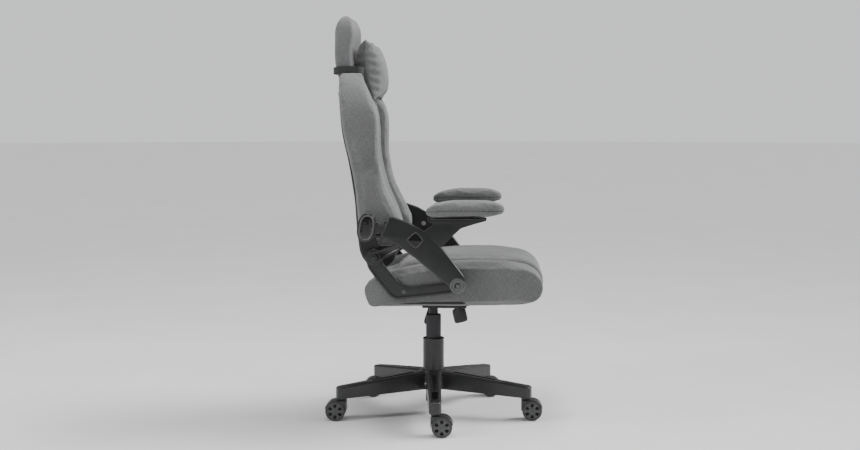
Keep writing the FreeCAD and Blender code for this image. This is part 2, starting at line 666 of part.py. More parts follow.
def arm_linkage(word, side):
    arm_y, arm_z = "arm_pivot_y", "arm_pivot_z"
    hinge_y, hinge_z = "recline_y", "recline_z"
    plate = side_slab(f"bracket_{word}", rounded(ARM_BRACKET), side, "seat_bracket_inner",
                      "seat_bracket_outer")
    boss_front = side_shaft(f"boss_front_{word}", "22", side, "seat_bracket_inner", "arm_inner - 0.4", arm_y,
                            arm_z)
    boss_rear = side_shaft(f"boss_rear_{word}", "25", side, "seat_bracket_inner", "seat_bracket_outer + 2",
                           hinge_y, hinge_z)
    peg = side_shaft(f"guide_peg_{word}", "8", side, "seat_bracket_outer", "arm_inner", hinge_y, hinge_z)
    hub_hole = side_shaft(f"hub_hole_{word}", "11", side, "seat_bracket_inner - 1",
                          "seat_bracket_inner + 4.4",
                          hinge_y, hinge_z)
    bolt_hole = side_shaft(f"bracket_bolt_{word}", "6", side, "240", "300", arm_y, arm_z)
    holes = [hub_hole, bolt_hole]
    if word == "left":
        holes.append(side_shaft("release_hole", "5 + running_gap", side, "seat_bracket_outer - 6",
                                "seat_bracket_outer + 1", "release_pivot_y", "release_pivot_z"))
    node(cut(f"bracket_body_{word}", fuse(f"bracket_solid_{word}", plate, boss_front, boss_rear, peg),
             *holes),
         f"arm_bracket_{word}")

    body = side_slab(f"arm_plate_{word}", rounded(ARM), side, "arm_inner", "arm_outer")
    hub = side_shaft(f"arm_hub_{word}", "23", side, "arm_inner", "arm_outer", arm_y, arm_z)
    ledge = block(f"ledge_{word}", (f"{side} * pad_centre - 34", f"{side} * pad_centre + 34"), ("-163", "-2"),
                  ("637", "641"))
    sleeve = side_slab(f"arm_sleeve_{word}", strip(20, 124, 20.3), side, "arm_inner + 3.7", "arm_outer - 3.7")
    pin_bore = side_shaft(f"arm_bore_{word}", "6 + running_gap", side, "240", "arm_outer - 2", arm_y, arm_z)
    run = math.atan2(size("slot_pin_z") - size("recline_z"), size("recline_y") - size("slot_pin_y"))
    slot_shapes = []
    for index in range(3):
        shift = SLOT_TRAVEL * index / 2
        slot_shapes.append(side_shaft(f"arm_slot_{index}_{word}", "7.5", side, "arm_inner - 1",
                                      "arm_inner + 12",
                                      f"slot_pin_y - {shift * math.cos(run)}",
                                      f"slot_pin_z + {shift * math.sin(run)}"))
    node(cut(f"arm_body_{word}", fuse(f"arm_solid_{word}", body, hub, ledge), sleeve, pin_bore, *slot_shapes),
         f"arm_{word}")

    middle_y, middle_z = size("slot_pin_y") - 1, size("slot_pin_z") + 1
    window = rounded([(middle_y - 25, middle_z, 8), (middle_y, middle_z - 27, 8),
                      (middle_y + 25, middle_z, 8),
                      (middle_y, middle_z + 27, 8)])
    node(side_slab(f"cap_{word}", window, side, "arm_outer", "arm_outer + 2.5"), f"arm_cap_{word}")

    pad = rounded([(16, 668, 14), (-12, 684, 40), (-60, 692, 80), (-186, 692, 60), (-222, 680, 12),
                   (-219, 650, 10),
                   (-176, 646.4, 3), (-166, 644.4), (-4, 641.3), (12, 641.3, 10)])
    plan = rounded([(-43, 16, 34), (43, 16, 34), (43, -223, 38), (-43, -223, 38)])
    pad_block = side_slab(f"pad_block_{word}", pad, side, "pad_centre - pad_half_width",
                          "pad_centre + pad_half_width")
    pad_plan = extrude(f"pad_plan_{word}", plan, LEVEL_PLANE, "600", "120")
    pad_plan.Placement.Base.x = side * size("pad_centre")
    node(common(f"pad_{word}", pad_block, pad_plan), f"arm_pad_{word}")

    eye = side_slab(f"eye_{word}", eye_outline(28, 42), side, "arm_inner + 1", "arm_outer - 3")
    tongue = side_slab(f"tongue_{word}", strip(22, 112, 20), side, "arm_inner + 4", "arm_outer - 4")
    eye_slot = side_slab(f"eye_slot_{word}", eye_outline(17, 33), side, "arm_inner - 2", "arm_outer + 2")
    node(cut(f"link_body_{word}", fuse(f"link_solid_{word}", eye, tongue), eye_slot), f"link_{word}")
    node(side_slab(f"link_cover_{word}", eye_outline(22, 37), side, "arm_outer - 3", "arm_outer - 0.5"),
         f"link_cap_{word}")

    length = math.dist((size("recline_y"), size("recline_z")), (size("slot_pin_y"), size("slot_pin_z")))
    along = Vector(size("slot_pin_y") - size("recline_y"), size("slot_pin_z") - size("recline_z"),
                   0).normalize()
    across = Vector(-along.y, along.x, 0)
    origin = Vector(size("recline_y"), size("recline_z"), 0)
    corners = [origin + across * 11, origin - across * 11, origin + along * length - across * 9,
               origin + along * length + across * 9]
    bar = side_slab(f"guide_plate_{word}", rounded([tuple(corner)[:2] for corner in corners]), side,
                    "seat_bracket_outer + 2.4", "arm_inner - 0.6")
    eye_end = side_shaft(f"guide_eye_{word}", "14", side, "seat_bracket_outer + 2.4", "arm_inner - 0.6",
                         hinge_y, hinge_z)
    tip = side_shaft(f"guide_tip_{word}", "9", side, "seat_bracket_outer + 2.4", "arm_inner - 0.6",
                     "slot_pin_y", "slot_pin_z")
    pin = side_shaft(f"guide_pin_{word}", "5", side, "arm_inner - 1", "arm_inner + 10", "slot_pin_y",
                     "slot_pin_z")
    peg_hole = side_shaft(f"guide_hole_{word}", "8 + running_gap", side, "240", "300", hinge_y, hinge_z)
    node(cut(f"guide_body_{word}", fuse(f"guide_solid_{word}", bar, eye_end, tip, pin), peg_hole),
         f"guide_bar_{word}")


def hinge_hubs():
    """The stub shafts on which the back turns in the seat frame's side plates."""
    return [side_shaft(f"hinge_hub_{word}", "8", side, "back_plate_inner - 4", "seat_bracket_inner + 4",
                       "recline_y", "recline_z") for word, side in SIDES.items()]


def recline_lever():
    outline = rounded([(130, 433, 10), (130, 459, 10), (20, 475, 10), (-14, 471, 7), (-12, 454, 7),
                       (20, 454, 30)])
    handle = side_slab("release_handle", outline, 1, "seat_bracket_outer + 0.6", "arm_inner - 1.5")
    pin = side_shaft("release_pin", "5", 1, "seat_bracket_outer - 5", "seat_bracket_outer + 2",
                     "release_pivot_y", "release_pivot_z")
    node(fuse("release_body", handle, pin), "recline_lever")


# ---------------------------------------------------------------- backrest

FRAME_LINE = [(166, 522), (186, 562), (200, 610), (214, 690), (234, 790), (250, 880), (262, 960), (264, 1003)]
PANEL_LINE = [(233, 516), (242, 562), (248, 624), (251, 671), (257, 718), (270, 796), (287, 873), (293, 920),
              (297, 981), (297, 1010)]
SIDE_REAR = [(206, 538), (209, 587), (214, 646), (218, 690), (223, 734), (229, 772), (237, 807), (244, 836),
             (252, 879), (259, 923), (266, 981), (270, 1030), (272, 1078)]
SIDE_FRONT = [(213, 1078), (203, 1039), (189, 1010), (176, 981), (164, 957), (159, 937), (157, 908),
              (158, 870),
              (159, 835), (156, 805), (151, 776), (145, 747), (136, 721), (122, 690), (105, 656), (89, 623),
              (78, 590), (84, 538)]
CENTRE_REAR = [(147, 500), (153, 540), (176, 590), (201, 690), (221, 790), (237, 880), (249, 960),
               (250, 1010)]
CENTRE_FRONT = [(206, 1010), (186, 960), (177, 908), (175, 835), (166, 776), (152, 721), (136, 680),
                (119, 640),
                (106, 600), (99, 560), (108, 500)]
HEAD_REAR = [(291, 1011), (296, 1055), (297, 1100), (296, 1160), (294, 1190), (285, 1220), (266, 1240)]
HEAD_FRONT = [(266, 1240), (244, 1232), (228, 1213), (217, 1185), (216, 1160), (227, 1132), (231, 1095),
              (228, 1060), (214, 1011)]


def back_frame(hubs):
    parts = []
    tube_inner = "centre_half_width + 5"
    for word, side in SIDES.items():
        parts.append(side_slab(f"frame_rail_{word}", band(FRAME_LINE, 10), side, tube_inner,
                               "centre_half_width + 25"))
        plate = rounded([(150, 535, 4), (150, 505, 12), (184, 505, 12), (204, 600, 10), (200, 634, 16),
                         (170, 634, 16),
                         (164, 600, 10)])
        parts.append(side_slab(f"back_plate_{word}", plate, side, "back_plate_inner",
                               "side_plate_inner - 0.6"))
    parts.append(across_shaft("hinge_tube", "10", "back_plate_inner + 1", "recline_y", "recline_z"))
    parts.append(block("top_rail", ("-centre_half_width - 10", "centre_half_width + 10"), ("254", "272"),
                       ("984", "1002")))
    parts.append(across_shaft("lumbar_rail", "8", "centre_half_width + 10", "222", "730"))
    node(fuse("back_frame_body", *parts, *hubs), "back_frame")

    pins = []
    for word, side in SIDES.items():
        shank = side_shaft(f"pin_{word}", "back_pin_radius", side, "side_plate_inner - 0.6", "arm_outer - 4",
                           "back_pin_y", "back_pin_z")
        washer = side_shaft(f"pin_washer_{word}", "15", side, "side_plate_inner - 0.6", "arm_inner - 1",
                            "back_pin_y", "back_pin_z")
        pins.append(fuse(f"pin_body_{word}", shank, washer))
    node(group("pins", *pins), "link_pins")


def back_cushions():
    node(middle_slab("back_centre", loop(CENTRE_REAR, CENTRE_FRONT), "centre_half_width"), "back_cushion")
    for word, side in SIDES.items():
        profile = side_slab(f"side_profile_{word}", loop(SIDE_REAR, SIDE_FRONT), side,
                            "centre_half_width + 0.4", "back_half_width + 2")
        inner, outer = size("centre_half_width") + 0.4, size("back_plate_inner") - 0.5
        wide = size("back_half_width")
        outline = [(outer - 3, 538), (outer - 3, 600), (outer - 4, 650), (outer - 6, 700), (outer - 3, 760),
                   (wide - 8, 850), (wide, 915),
                   (wide - 2, 960), (wide - 20, 1005), (wide - 58, 1042), (inner + 8, 1075)]
        mirrored = [(side * x, z) for x, z in outline]
        front_view = loop(mirrored, [(side * (inner + 8), 1078), (side * inner, 1078)],
                          [(side * inner, 1078), (side * inner, 538)])
        face = extrude(f"side_outline_{word}", front_view, FRONT_PLANE, "-400", "400")
        channel = side_slab(f"rail_channel_{word}", band(FRAME_LINE + [(264, 1012)], 11), side,
                            "centre_half_width + 0.2", "centre_half_width + 26")
        rear_gap = side_slab(f"rear_gap_{word}",
                             loop([(150, 500), (176, 522), (196, 562), (210, 610), (224, 690),
                                                       (244, 790), (260, 880), (272, 960), (274, 1012)],
                                                      [(330, 1012), (330, 500)]), side,
                             "centre_half_width - 1", "centre_half_width + 26")
        node(cut(f"side_{word}", common(f"side_solid_{word}", profile, face), channel, rear_gap),
             f"back_bolster_{word}")
    head = loop(HEAD_REAR, HEAD_FRONT)
    node(middle_slab("head", head, "head_half_width"), "head_cushion")
    node(middle_slab("panel", band(PANEL_LINE, 2), "centre_half_width + 24"), "back_panel")


def head_pillow():
    pillow = rounded([(222, 1128, 10), (192, 1168, 12), (164, 1140, 40), (141, 1096, 60), (139, 1020, 40),
                      (156, 982, 20), (181, 978, 8), (200, 1026, 30), (208, 1060, 30), (221, 1094, 20)])
    node(middle_slab("pillow", pillow, "pillow_half_width"), "head_pillow")
    low = size("strap_low")
    high = low + size("strap_width")
    outer = block("strap_outer", ("-head_half_width - strap_thickness - 0.5",
                                  "head_half_width + strap_thickness + 0.5"),
                  ("211", "300.2"), (low, high))
    inner = block("strap_inner", ("-head_half_width - 0.5", "head_half_width + 0.5"), ("200", "298.2"),
                  (low - 1, high + 1))
    tail = [block(f"strap_tail_{word}", (f"{min(side * 124.3, side * 147.5)}",
                                         f"{max(side * 124.3, side * 147.5)}"),
                  ("209", "211.5"), (low, high)) for word, side in SIDES.items()]
    node(fuse("strap_body", cut("strap_loop", outer, inner), *tail), "pillow_strap")


# ---------------------------------------------------------------- casters

def caster(index, angle, heading):
    """A twin-wheel caster under a leg's tip. Its wheels trail behind the stem towards the heading."""
    hub_z = "wheel_radius"
    trail = "caster_trail"
    name = f"caster_{index}"
    half = "hood_width / 2"
    stem = cylinder(name + "_stem", "stem_radius", "stem_top - 52", (0, 0, 52))
    collar = cylinder(name + "_collar", "stem_radius + 4", "3", (0, 0, "socket_bottom - 3.6"))
    neck = cylinder(name + "_neck", "neck_radius", "6.4", (0, 0, "55.2"))
    web = cylinder(name + "_web", "hood_radius", "web_width", (trail, "-web_width / 2", hub_z), ALONG_Y)
    web_keep = block(name + "_web_keep", ("-14", "60"), ("-10", "10"), ("wheel_radius - 12", "80"))
    hood = cylinder(name + "_hood", "hood_radius", "hood_width", (trail, f"-{half}", hub_z), ALONG_Y)
    under = cylinder(name + "_under", "hood_radius - hood_wall", "hood_width + 2",
                     (trail, f"-{half} - 1", hub_z),
                     ALONG_Y)
    hood_keep = block(name + "_hood_keep", ("-20", "60"), ("-40", "40"), ("wheel_radius + 9", "80"))
    fender = common(name + "_fender", cut(name + "_hood_shell", hood, under), hood_keep)
    web_part = common(name + "_web_part", web, web_keep)
    axle_hole = cylinder(name + "_axle_hole", "axle_radius", "60", (trail, "-30", hub_z), ALONG_Y)
    stem_hole = cylinder(name + "_stem_hole", "stem_radius", "60", (0, 0, 52))
    neck_part = cut(name + "_neck_part", neck, under)
    housing = cut(name + "_housing", fuse(name + "_solid", neck_part, web_part, fender), axle_hole, stem_hole)
    axle = cylinder(name + "_axle", "axle_radius", "hood_width - 3", (trail, f"1.5 - {half}", hub_z), ALONG_Y)
    steel = fuse(name + "_steel", stem, collar)
    foot = Placement(radial(angle, size("stem_circle"), 0, 0), Rotation(Vector(0, 0, 1), heading))
    body = group(name + "_body", housing, steel, axle)
    body.Placement = foot
    node(body, f"caster_{index}")

    wheels = []
    for word, side in SIDES.items():
        inner = f"{side} * wheel_gap / 2"
        start = inner if side > 0 else f"{inner} - wheel_width"
        face = f"{side} * (wheel_gap / 2 + wheel_width)"
        tyre = cylinder(f"tyre_{index}_{word}", "wheel_radius", "wheel_width", (trail, start, hub_z), ALONG_Y)
        bore = cylinder(f"wheel_bore_{index}_{word}", "axle_radius + running_gap", "60",
                        (trail, "-30", hub_z), ALONG_Y)
        dish_start = f"{face} - 3" if side > 0 else face
        dish = cylinder(f"wheel_dish_{index}_{word}", "wheel_radius - 5", "3", (trail, dish_start, hub_z),
                        ALONG_Y)
        hub_start = f"{face} - 4" if side > 0 else f"{face} + 1"
        cap = cylinder(f"wheel_cap_{index}_{word}", "8", "3", (trail, hub_start, hub_z), ALONG_Y)
        pockets = []
        for petal in range(6):
            turn = math.radians(60 * petal + 30)
            pocket_start = f"{face} - 9" if side > 0 else f"{face} - 1"
            pockets.append(cylinder(f"petal_{index}_{word}_{petal}", "5", "10",
                                    (f"{trail} + {16.5 * math.cos(turn)}", pocket_start,
                                     f"{hub_z} + {16.5 * math.sin(turn)}"), ALONG_Y))
        disc = cut(f"wheel_disc_{index}_{word}", tyre, dish, *pockets)
        wheels.append(cut(f"wheel_{index}_{word}", fuse(f"wheel_solid_{index}_{word}", disc, cap), bore))
    pair = group(f"wheels_{index}", *wheels)
    pair.Placement = foot
    node(pair, f"caster_wheels_{index}")


HEADINGS = (-90, -90, -90, 90, 90)

star_base()
gas_column()
tilt_mechanism()
lift_lever()
seat_frame()
seat_cushions()
for side_word, side_sign in SIDES.items():
    arm_linkage(side_word, side_sign)
recline_lever()
back_frame(hinge_hubs())
back_cushions()
head_pillow()
for caster_index, (leg_angle, caster_heading) in enumerate(zip(LEG_ANGLES, HEADINGS), start=1):
    caster(caster_index, leg_angle, caster_heading)
doc.recompute()

# ---------------------------------------------------------------- checks and files

for item in doc.Objects:
    faults = [state for state in item.State if state in ("Invalid", "Error")]
    if faults:
        raise SystemExit(f"{item.Name} failed: {faults}")
for item in NODES:
    if item.Shape.isNull() or not item.Shape.isValid():
        raise SystemExit(f"{item.Label} has no valid shape")
    print(f"{item.Label:22s} solids {len(item.Shape.Solids)} volume {item.Shape.Volume:12.0f}")
for item in NODES:
    item.Shape.exportStep(f"parts/{item.Label}.step")
print(len(NODES), "nodes")
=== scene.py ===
import json
import math

import bpy
from mathutils import Matrix, Vector, kdtree


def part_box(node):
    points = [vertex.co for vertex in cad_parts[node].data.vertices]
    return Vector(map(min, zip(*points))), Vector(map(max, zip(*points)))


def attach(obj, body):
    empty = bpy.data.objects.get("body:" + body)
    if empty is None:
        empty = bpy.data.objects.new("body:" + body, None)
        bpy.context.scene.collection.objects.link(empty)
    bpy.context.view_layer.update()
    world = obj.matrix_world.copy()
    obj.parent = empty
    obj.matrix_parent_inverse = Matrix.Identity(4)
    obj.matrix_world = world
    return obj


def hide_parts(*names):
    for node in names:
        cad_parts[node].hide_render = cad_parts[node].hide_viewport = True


# A gaming chair on a five-legged caster base. The sitter faces -Y and the sitter's right-hand side is -X.
# Sizes in the tables below are in millimetres, and MM turns them into metres.

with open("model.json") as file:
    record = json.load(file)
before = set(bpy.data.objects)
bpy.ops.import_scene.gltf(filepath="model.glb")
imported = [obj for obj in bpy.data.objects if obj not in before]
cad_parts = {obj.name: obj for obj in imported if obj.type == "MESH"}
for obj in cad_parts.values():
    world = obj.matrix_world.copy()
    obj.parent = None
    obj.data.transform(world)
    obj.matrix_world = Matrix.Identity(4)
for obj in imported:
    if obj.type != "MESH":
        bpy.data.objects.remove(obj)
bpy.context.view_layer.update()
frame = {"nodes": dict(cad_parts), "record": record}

MM = 0.001
scene = bpy.context.scene
for cad_part in frame["nodes"].values():
    cad_part.select_set(False)

# Each plane takes a flat outline's (across, up, out) to the chair's axes.
PLANES = { "side": Matrix(((0, 0, 1, 0), (1, 0, 0, 0), (0, 1, 0, 0), (0, 0, 0, 1))),
          "front": Matrix(((1, 0, 0, 0), (0, 0, -1, 0), (0, 1, 0, 0), (0, 0, 0, 1))), "level": Matrix(), }


# --- shop tools

def deselect():
    bpy.ops.object.select_all(action="DESELECT")


def select_only(*pieces):
    """Leaves these pieces selected and the first one active."""
    if bpy.context.object and bpy.context.object.mode != "OBJECT":
        bpy.ops.object.mode_set(mode="OBJECT")
    deselect()
    for piece in pieces:
        piece.select_set(True)
    bpy.context.view_layer.objects.active = pieces[0]


def edit(piece, kind="FACE", rule=None):
    """Opens a piece in edit mode with the faces, edges or points selected for which the rule holds."""
    select_only(piece)
    bpy.ops.object.mode_set(mode="EDIT")
    bpy.ops.mesh.select_mode(type=kind)
    bpy.ops.mesh.select_all(action="DESELECT")
    bpy.ops.object.mode_set(mode="OBJECT")
    mesh = piece.data
    if rule is not None and kind == "FACE":
        for face in mesh.polygons:
            face.select = rule(face.center, face.normal)
    elif rule is not None and kind == "EDGE":
        for line in mesh.edges:
            line.select = rule(mesh.vertices[line.vertices[0]].co, mesh.vertices[line.vertices[1]].co)
    elif rule is not None:
        for point in mesh.vertices:
            point.select = rule(point.co)
    bpy.ops.object.mode_set(mode="EDIT")


def close_edit():
    bpy.ops.object.mode_set(mode="OBJECT")


def everywhere(*place):
    """The rule that selects all."""
    return True


def inset(thickness, depth=0, even=True):
    """Insets the selected faces, in millimetres."""
    bpy.ops.mesh.inset(thickness=thickness * MM, depth=depth * MM, use_even_offset=even)


def convert(kind="MESH"):
    bpy.ops.object.convert(target=kind)
    return bpy.context.object


def settle(piece, matrix=None):
    """Puts a piece in its place and applies that place to its mesh."""
    if matrix is not None:
        piece.matrix_world = matrix
    select_only(piece)
    bpy.ops.object.transform_apply(location=True, rotation=True, scale=True)
    return piece


def weld(piece, gap=0.01):
    """Merges points that meet and turns all faces outwards."""
    edit(piece, "VERT")
    bpy.ops.mesh.select_all(action="SELECT")
    bpy.ops.mesh.remove_doubles(threshold=gap * MM)
    bpy.ops.mesh.normals_make_consistent(inside=False)
    close_edit()
    return piece


def work(piece, kind, **settings):
    """Adds a modifier with these settings and applies it."""
    select_only(piece)
    modifier = piece.modifiers.new(kind.title(), kind)
    for key, value in settings.items():
        setattr(modifier, key, value)
    bpy.ops.object.modifier_apply(modifier=modifier.name)
    return piece


def ease_edges(piece, width, steps, degrees):
    """Bevels the edges that turn by more than an angle."""
    return work(piece, "BEVEL", width=width * MM, segments=steps, limit_method="ANGLE",
                angle_limit=math.radians(degrees))


def soften_shading(piece, degrees=35):
    """Smooth shading, kept flat on the large faces, with hard corners past an angle."""
    select_only(piece)
    bpy.ops.object.shade_smooth_by_angle(angle=math.radians(degrees))
    if degrees < 60:
        work(piece, "WEIGHTED_NORMAL", keep_sharp=True)
    return piece


def paint(piece, material):
    piece.data.materials.clear()
    piece.data.materials.append(material)
    return piece


def coat(material, *pieces):
    """Gives pieces their shading and one finish."""
    for piece in pieces:
        paint(soften_shading(piece), material)


def join(name, *pieces):
    """Makes one piece of one or more, and names it."""
    select_only(*pieces)
    if len(pieces) > 1:
        bpy.ops.object.join()
    piece = bpy.context.object
    piece.name = piece.data.name = name
    return piece


def copy_of(piece, name, matrix=Matrix()):
    """A copy with its own mesh, put in its place by the matrix."""
    twin = piece.copy()
    twin.data = piece.data.copy()
    twin.name = twin.data.name = name
    scene.collection.objects.link(twin)
    return settle(twin, matrix)


def other_side(piece, name):
    """The mirror image of a piece, for the sitter's right-hand side."""
    twin = copy_of(piece, name, Matrix.Scale(-1, 4, (1, 0, 0)))
    edit(twin, "FACE", everywhere)
    bpy.ops.mesh.normals_make_consistent(inside=False)
    close_edit()
    return twin


def fit(piece, body, slot, *nodes):
    """Lets a finished piece ride on its body in place of the CAD parts that it stands for."""
    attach(piece, body)
    if nodes:
        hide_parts(*nodes)
    return piece


def trace(curve, corners):
    """Adds a closed outline to a flat curve. A corner is (across, up), then its radius or "smooth"."""
    stops = []
    total = len(corners)
    for index, corner in enumerate(corners):
        here = Vector(corner[:2])
        before = Vector(corners[index - 1][:2])
        after = Vector(corners[(index + 1) % total][:2])
        radius = corner[2] if len(corner) > 2 else 0
        if radius == "smooth":
            stops.append((here, None, None))
            continue
        if radius == 0:
            stops.append((here, here, here))
            continue
        to_before = before - here
        to_after = after - here
        turn = math.pi - to_before.angle(to_after)
        setback = min(radius * math.tan(turn / 2), 0.48 * to_before.length, 0.48 * to_after.length)
        reach = setback * 4 / 3 * math.tan(turn / 4) / math.tan(turn / 2)
        first = here + to_before.normalized() * setback
        last = here + to_after.normalized() * setback
        stops.append((first, first, first + (here - first).normalized() * reach))
        stops.append((last, last + (here - last).normalized() * reach, last))
    spline = curve.splines.new("BEZIER")
    spline.bezier_points.add(len(stops) - 1)
    spline.use_cyclic_u = True
    for point, (place, left, right) in zip(spline.bezier_points, stops):
        point.co = (*(place * MM), 0)
        if left is None:
            point.handle_left_type = point.handle_right_type = "AUTO"
        else:
            point.handle_left_type = point.handle_right_type = "FREE"
            point.handle_left = (*(left * MM), 0)
            point.handle_right = (*(right * MM), 0)


def smooth_line(points):
    return [(*point, "smooth") for point in points]


def smooth_curve(points, closed, fineness):
    """A smooth line in space through points."""
    deselect()
    bpy.ops.curve.primitive_bezier_curve_add()
    line = bpy.context.object
    line.data.splines.clear()
    spline = line.data.splines.new("BEZIER")
    spline.bezier_points.add(len(points) - 1)
    spline.use_cyclic_u = closed
    spline.resolution_u = fineness
    for knot, place in zip(spline.bezier_points, points):
        knot.co = Vector(place) * MM
        knot.handle_left_type = knot.handle_right_type = "AUTO"
    return line


def plate(name, outlines, low, high, bevel=0.0, plane="side", fineness=5, bevel_steps=3):
    """A plate cut to outlines, the first its edge and the rest holes, from low to high out of its plane."""
    deselect()
    bpy.ops.curve.primitive_bezier_circle_add()
    curve = bpy.context.object.data
    curve.dimensions = "2D"
    curve.fill_mode = "BOTH"
    curve.resolution_u = fineness
    curve.splines.clear()
    for corners in outlines:
        trace(curve, corners)
    curve.extrude = ((high - low) / 2 - bevel) * MM
    curve.bevel_depth = bevel * MM
    curve.bevel_resolution = bevel_steps
    curve.offset = -bevel * MM
    piece = join(name, convert())
    return weld(settle(piece, PLANES[plane] @ Matrix.Translation((0, 0, (low + high) / 2 * MM))))


def turned(name, profile, matrix=Matrix(), segments=48, hollow=False):
    """A turned shape round Z. Its profile is (radius, height), all round the wall of a hollow one."""
    deselect()
    radius, height = profile[0]
    bpy.ops.mesh.primitive_circle_add(vertices=segments, radius=radius * MM, location=(0, 0, height * MM),
                                      fill_type="NOTHING" if hollow else "NGON")
    piece = settle(bpy.context.object)
    edit(piece, "VERT", everywhere)
    rings = profile[1:] + (profile[:1] if hollow else [])
    for next_radius, next_height in rings:
        bpy.ops.mesh.extrude_region_move(
            TRANSFORM_OT_translate={"value": (0, 0, (next_height - height) * MM)})
        share = next_radius / radius
        bpy.ops.transform.resize(value=(share, share, 1), center_override=(0, 0, next_height * MM))
        radius, height = next_radius, next_height
    close_edit()
    return soften_shading(weld(settle(join(name, piece), matrix)))


def outwards(across, y, z):
    """Places a turned shape on the chair's left side, with its axis pointing outwards."""
    return Matrix.Translation((across * MM, y * MM, z * MM)) @ PLANES["side"]


def cuboid(low, high):
    """A plain block between two corners, to be worked further."""
    deselect()
    middle = [(a + b) / 2 * MM for a, b in zip(low, high)]
    bpy.ops.mesh.primitive_cube_add(size=1, location=middle, scale=[(b - a) * MM for a,
                                                                    b in zip(low, high)])
    return settle(bpy.context.object)


def eased(node, name, width):
    """A copy of a CAD part with its edges eased."""
    piece = copy_of(frame["nodes"][node], name)
    piece.parent = None
    for key in list(piece.keys()):
        del piece[key]
    weld(piece)
    edit(piece, "FACE", everywhere)
    bpy.ops.mesh.dissolve_limited(angle_limit=math.radians(3))
    close_edit()
    return soften_shading(ease_edges(piece, width, 3, 40))


# --- finishes

def put(tree, kind, inputs=None, **settings):
    """Adds a shader node, sets its options, and feeds its inputs with values or with other nodes' outputs."""
    item = tree.nodes.new("ShaderNode" + kind)
    for key, value in settings.items():
        setattr(item, key, value)
    for key, value in (inputs or {}).items():
        if isinstance(value, bpy.types.NodeSocket):
            tree.links.new(value, item.inputs[key])
        else:
            item.inputs[key].default_value = value
    return item


def calc(tree, operation, *values):
    """A Math node's result."""
    return put(tree, "Math", dict(enumerate(values)), operation=operation).outputs[0]


def times(tree, first, second):
    return calc(tree, "MULTIPLY", first, second)


def plus(tree, first, second):
    return calc(tree, "ADD", first, second)


def spread(tree, value, low=0.3, high=0.7, to_low=0.0, to_high=1.0):
    """Stretches a value's range from low..high to another one."""
    return put(tree, "MapRange", {"Value": value, "From Min": low, "From Max": high, "To Min": to_low,
                                  "To Max": to_high}).outputs[0]


def blend_colours(tree, share, first, second):
    """A colour between two colours."""
    return put(tree, "Mix", {0: share, 6: first, 7: second}, data_type="RGBA").outputs[2]


def shade_of(tree, colour, strength):
    """A colour made darker or lighter."""
    return put(tree, "VectorMath", {0: colour, 1: (strength,) * 3}, operation="MULTIPLY").outputs[0]


def whole_piece(tree):
    """Places on the piece, in metres."""
    return put(tree, "TexCoord").outputs["Object"]


def facing(tree):
    """The three parts of the direction that the surface faces."""
    return put(tree, "SeparateXYZ", {0: put(tree, "NewGeometry").outputs["Normal"]}).outputs


def noise_at(tree, vector, scale, detail=2.0, rough=0.5):
    """The strength of a noise pattern."""
    return put(tree, "TexNoise", {"Vector": vector, "Scale": scale, "Detail": detail,
                                  "Roughness": rough}).outputs[0]


SURFACE = {"Colour": "Color", "Roughness": "Float", "Height": "Float"}
MASK = {"Mask": "Float"}


def new_group(build, outputs, **inputs):
    """A node group with named inputs. The build function makes its outputs, in their order."""
    group = bpy.data.node_groups.new(build.__name__, "ShaderNodeTree")
    for label, value in inputs.items():
        kind = "NodeSocketFloat" if isinstance(value, float) else "NodeSocketColor"
        group.interface.new_socket(label, in_out="INPUT", socket_type=kind).default_value = value
    for label, kind in outputs.items():
        group.interface.new_socket(label, in_out="OUTPUT", socket_type="NodeSocket" + kind)
    given = group.nodes.new("NodeGroupInput").outputs
    result = group.nodes.new("NodeGroupOutput").inputs
    for socket, value in zip(result, build(group, given)):
        group.links.new(value, socket)
    return group


def grey(value, tint=0.0):
    """A grey with a slight cool (positive) or warm (negative) tint."""
    return (value * (1 - tint), value, value * (1 + tint), 1)


def woven_cloth(tree, given):
    """Melange linen: crossing threads of differing tone, laid along whichever plane the cloth faces."""
    whole = whole_piece(tree)
    place = put(tree, "SeparateXYZ", {0: whole}).outputs
    normal = facing(tree)
    on_side = calc(tree, "GREATER_THAN", calc(tree, "ABSOLUTE", normal[0]), 0.71)
    on_top = calc(tree, "GREATER_THAN", calc(tree, "ABSOLUTE", normal[2]), 0.71)
    across = put(tree, "Mix", {0: on_side, 2: place[0], 3: place[1]}).outputs[0]
    along = put(tree, "Mix", {0: on_top, 2: place[2], 3: place[1]}).outputs[0]
    warp = calc(tree, "DIVIDE", across, given["Thread"])
    weft = calc(tree, "DIVIDE", along, given["Thread"])
    waves = [calc(tree, "SINE", times(tree, count, math.tau)) for count in (warp, weft)]
    crossing = times(tree, *waves)
    warp_slub = put(tree, "CombineXYZ", {0: warp, 1: times(tree, weft, 0.12), 2: 3.0}).outputs[0]
    weft_slub = put(tree, "CombineXYZ", {0: times(tree, warp, 0.12), 1: weft, 2: 9.0}).outputs[0]
    warp_tone = noise_at(tree, warp_slub, 1.0, 1.0)
    weft_tone = noise_at(tree, weft_slub, 1.0, 1.0)
    fleck = noise_at(tree, whole, 760.0, 3.0, 0.7)
    cloud = noise_at(tree, whole, 9.0)
    tone = plus(tree, plus(tree, warp_tone, weft_tone), times(tree, fleck, given["Slub"]))
    tone = plus(tree, spread(tree, tone, 0.7, 2.3), spread(tree, cloud, to_low=-0.07, to_high=0.07))
    tone = plus(tree, tone, times(tree, crossing, 0.12))
    height = plus(tree, times(tree, crossing, 0.35), times(tree, warp_tone, 0.5))
    return (blend_colours(tree, tone, given["Dark"], given["Light"]),
            spread(tree, fleck, to_low=0.82, to_high=0.98), plus(tree, height, times(tree, weft_tone, 0.5)))


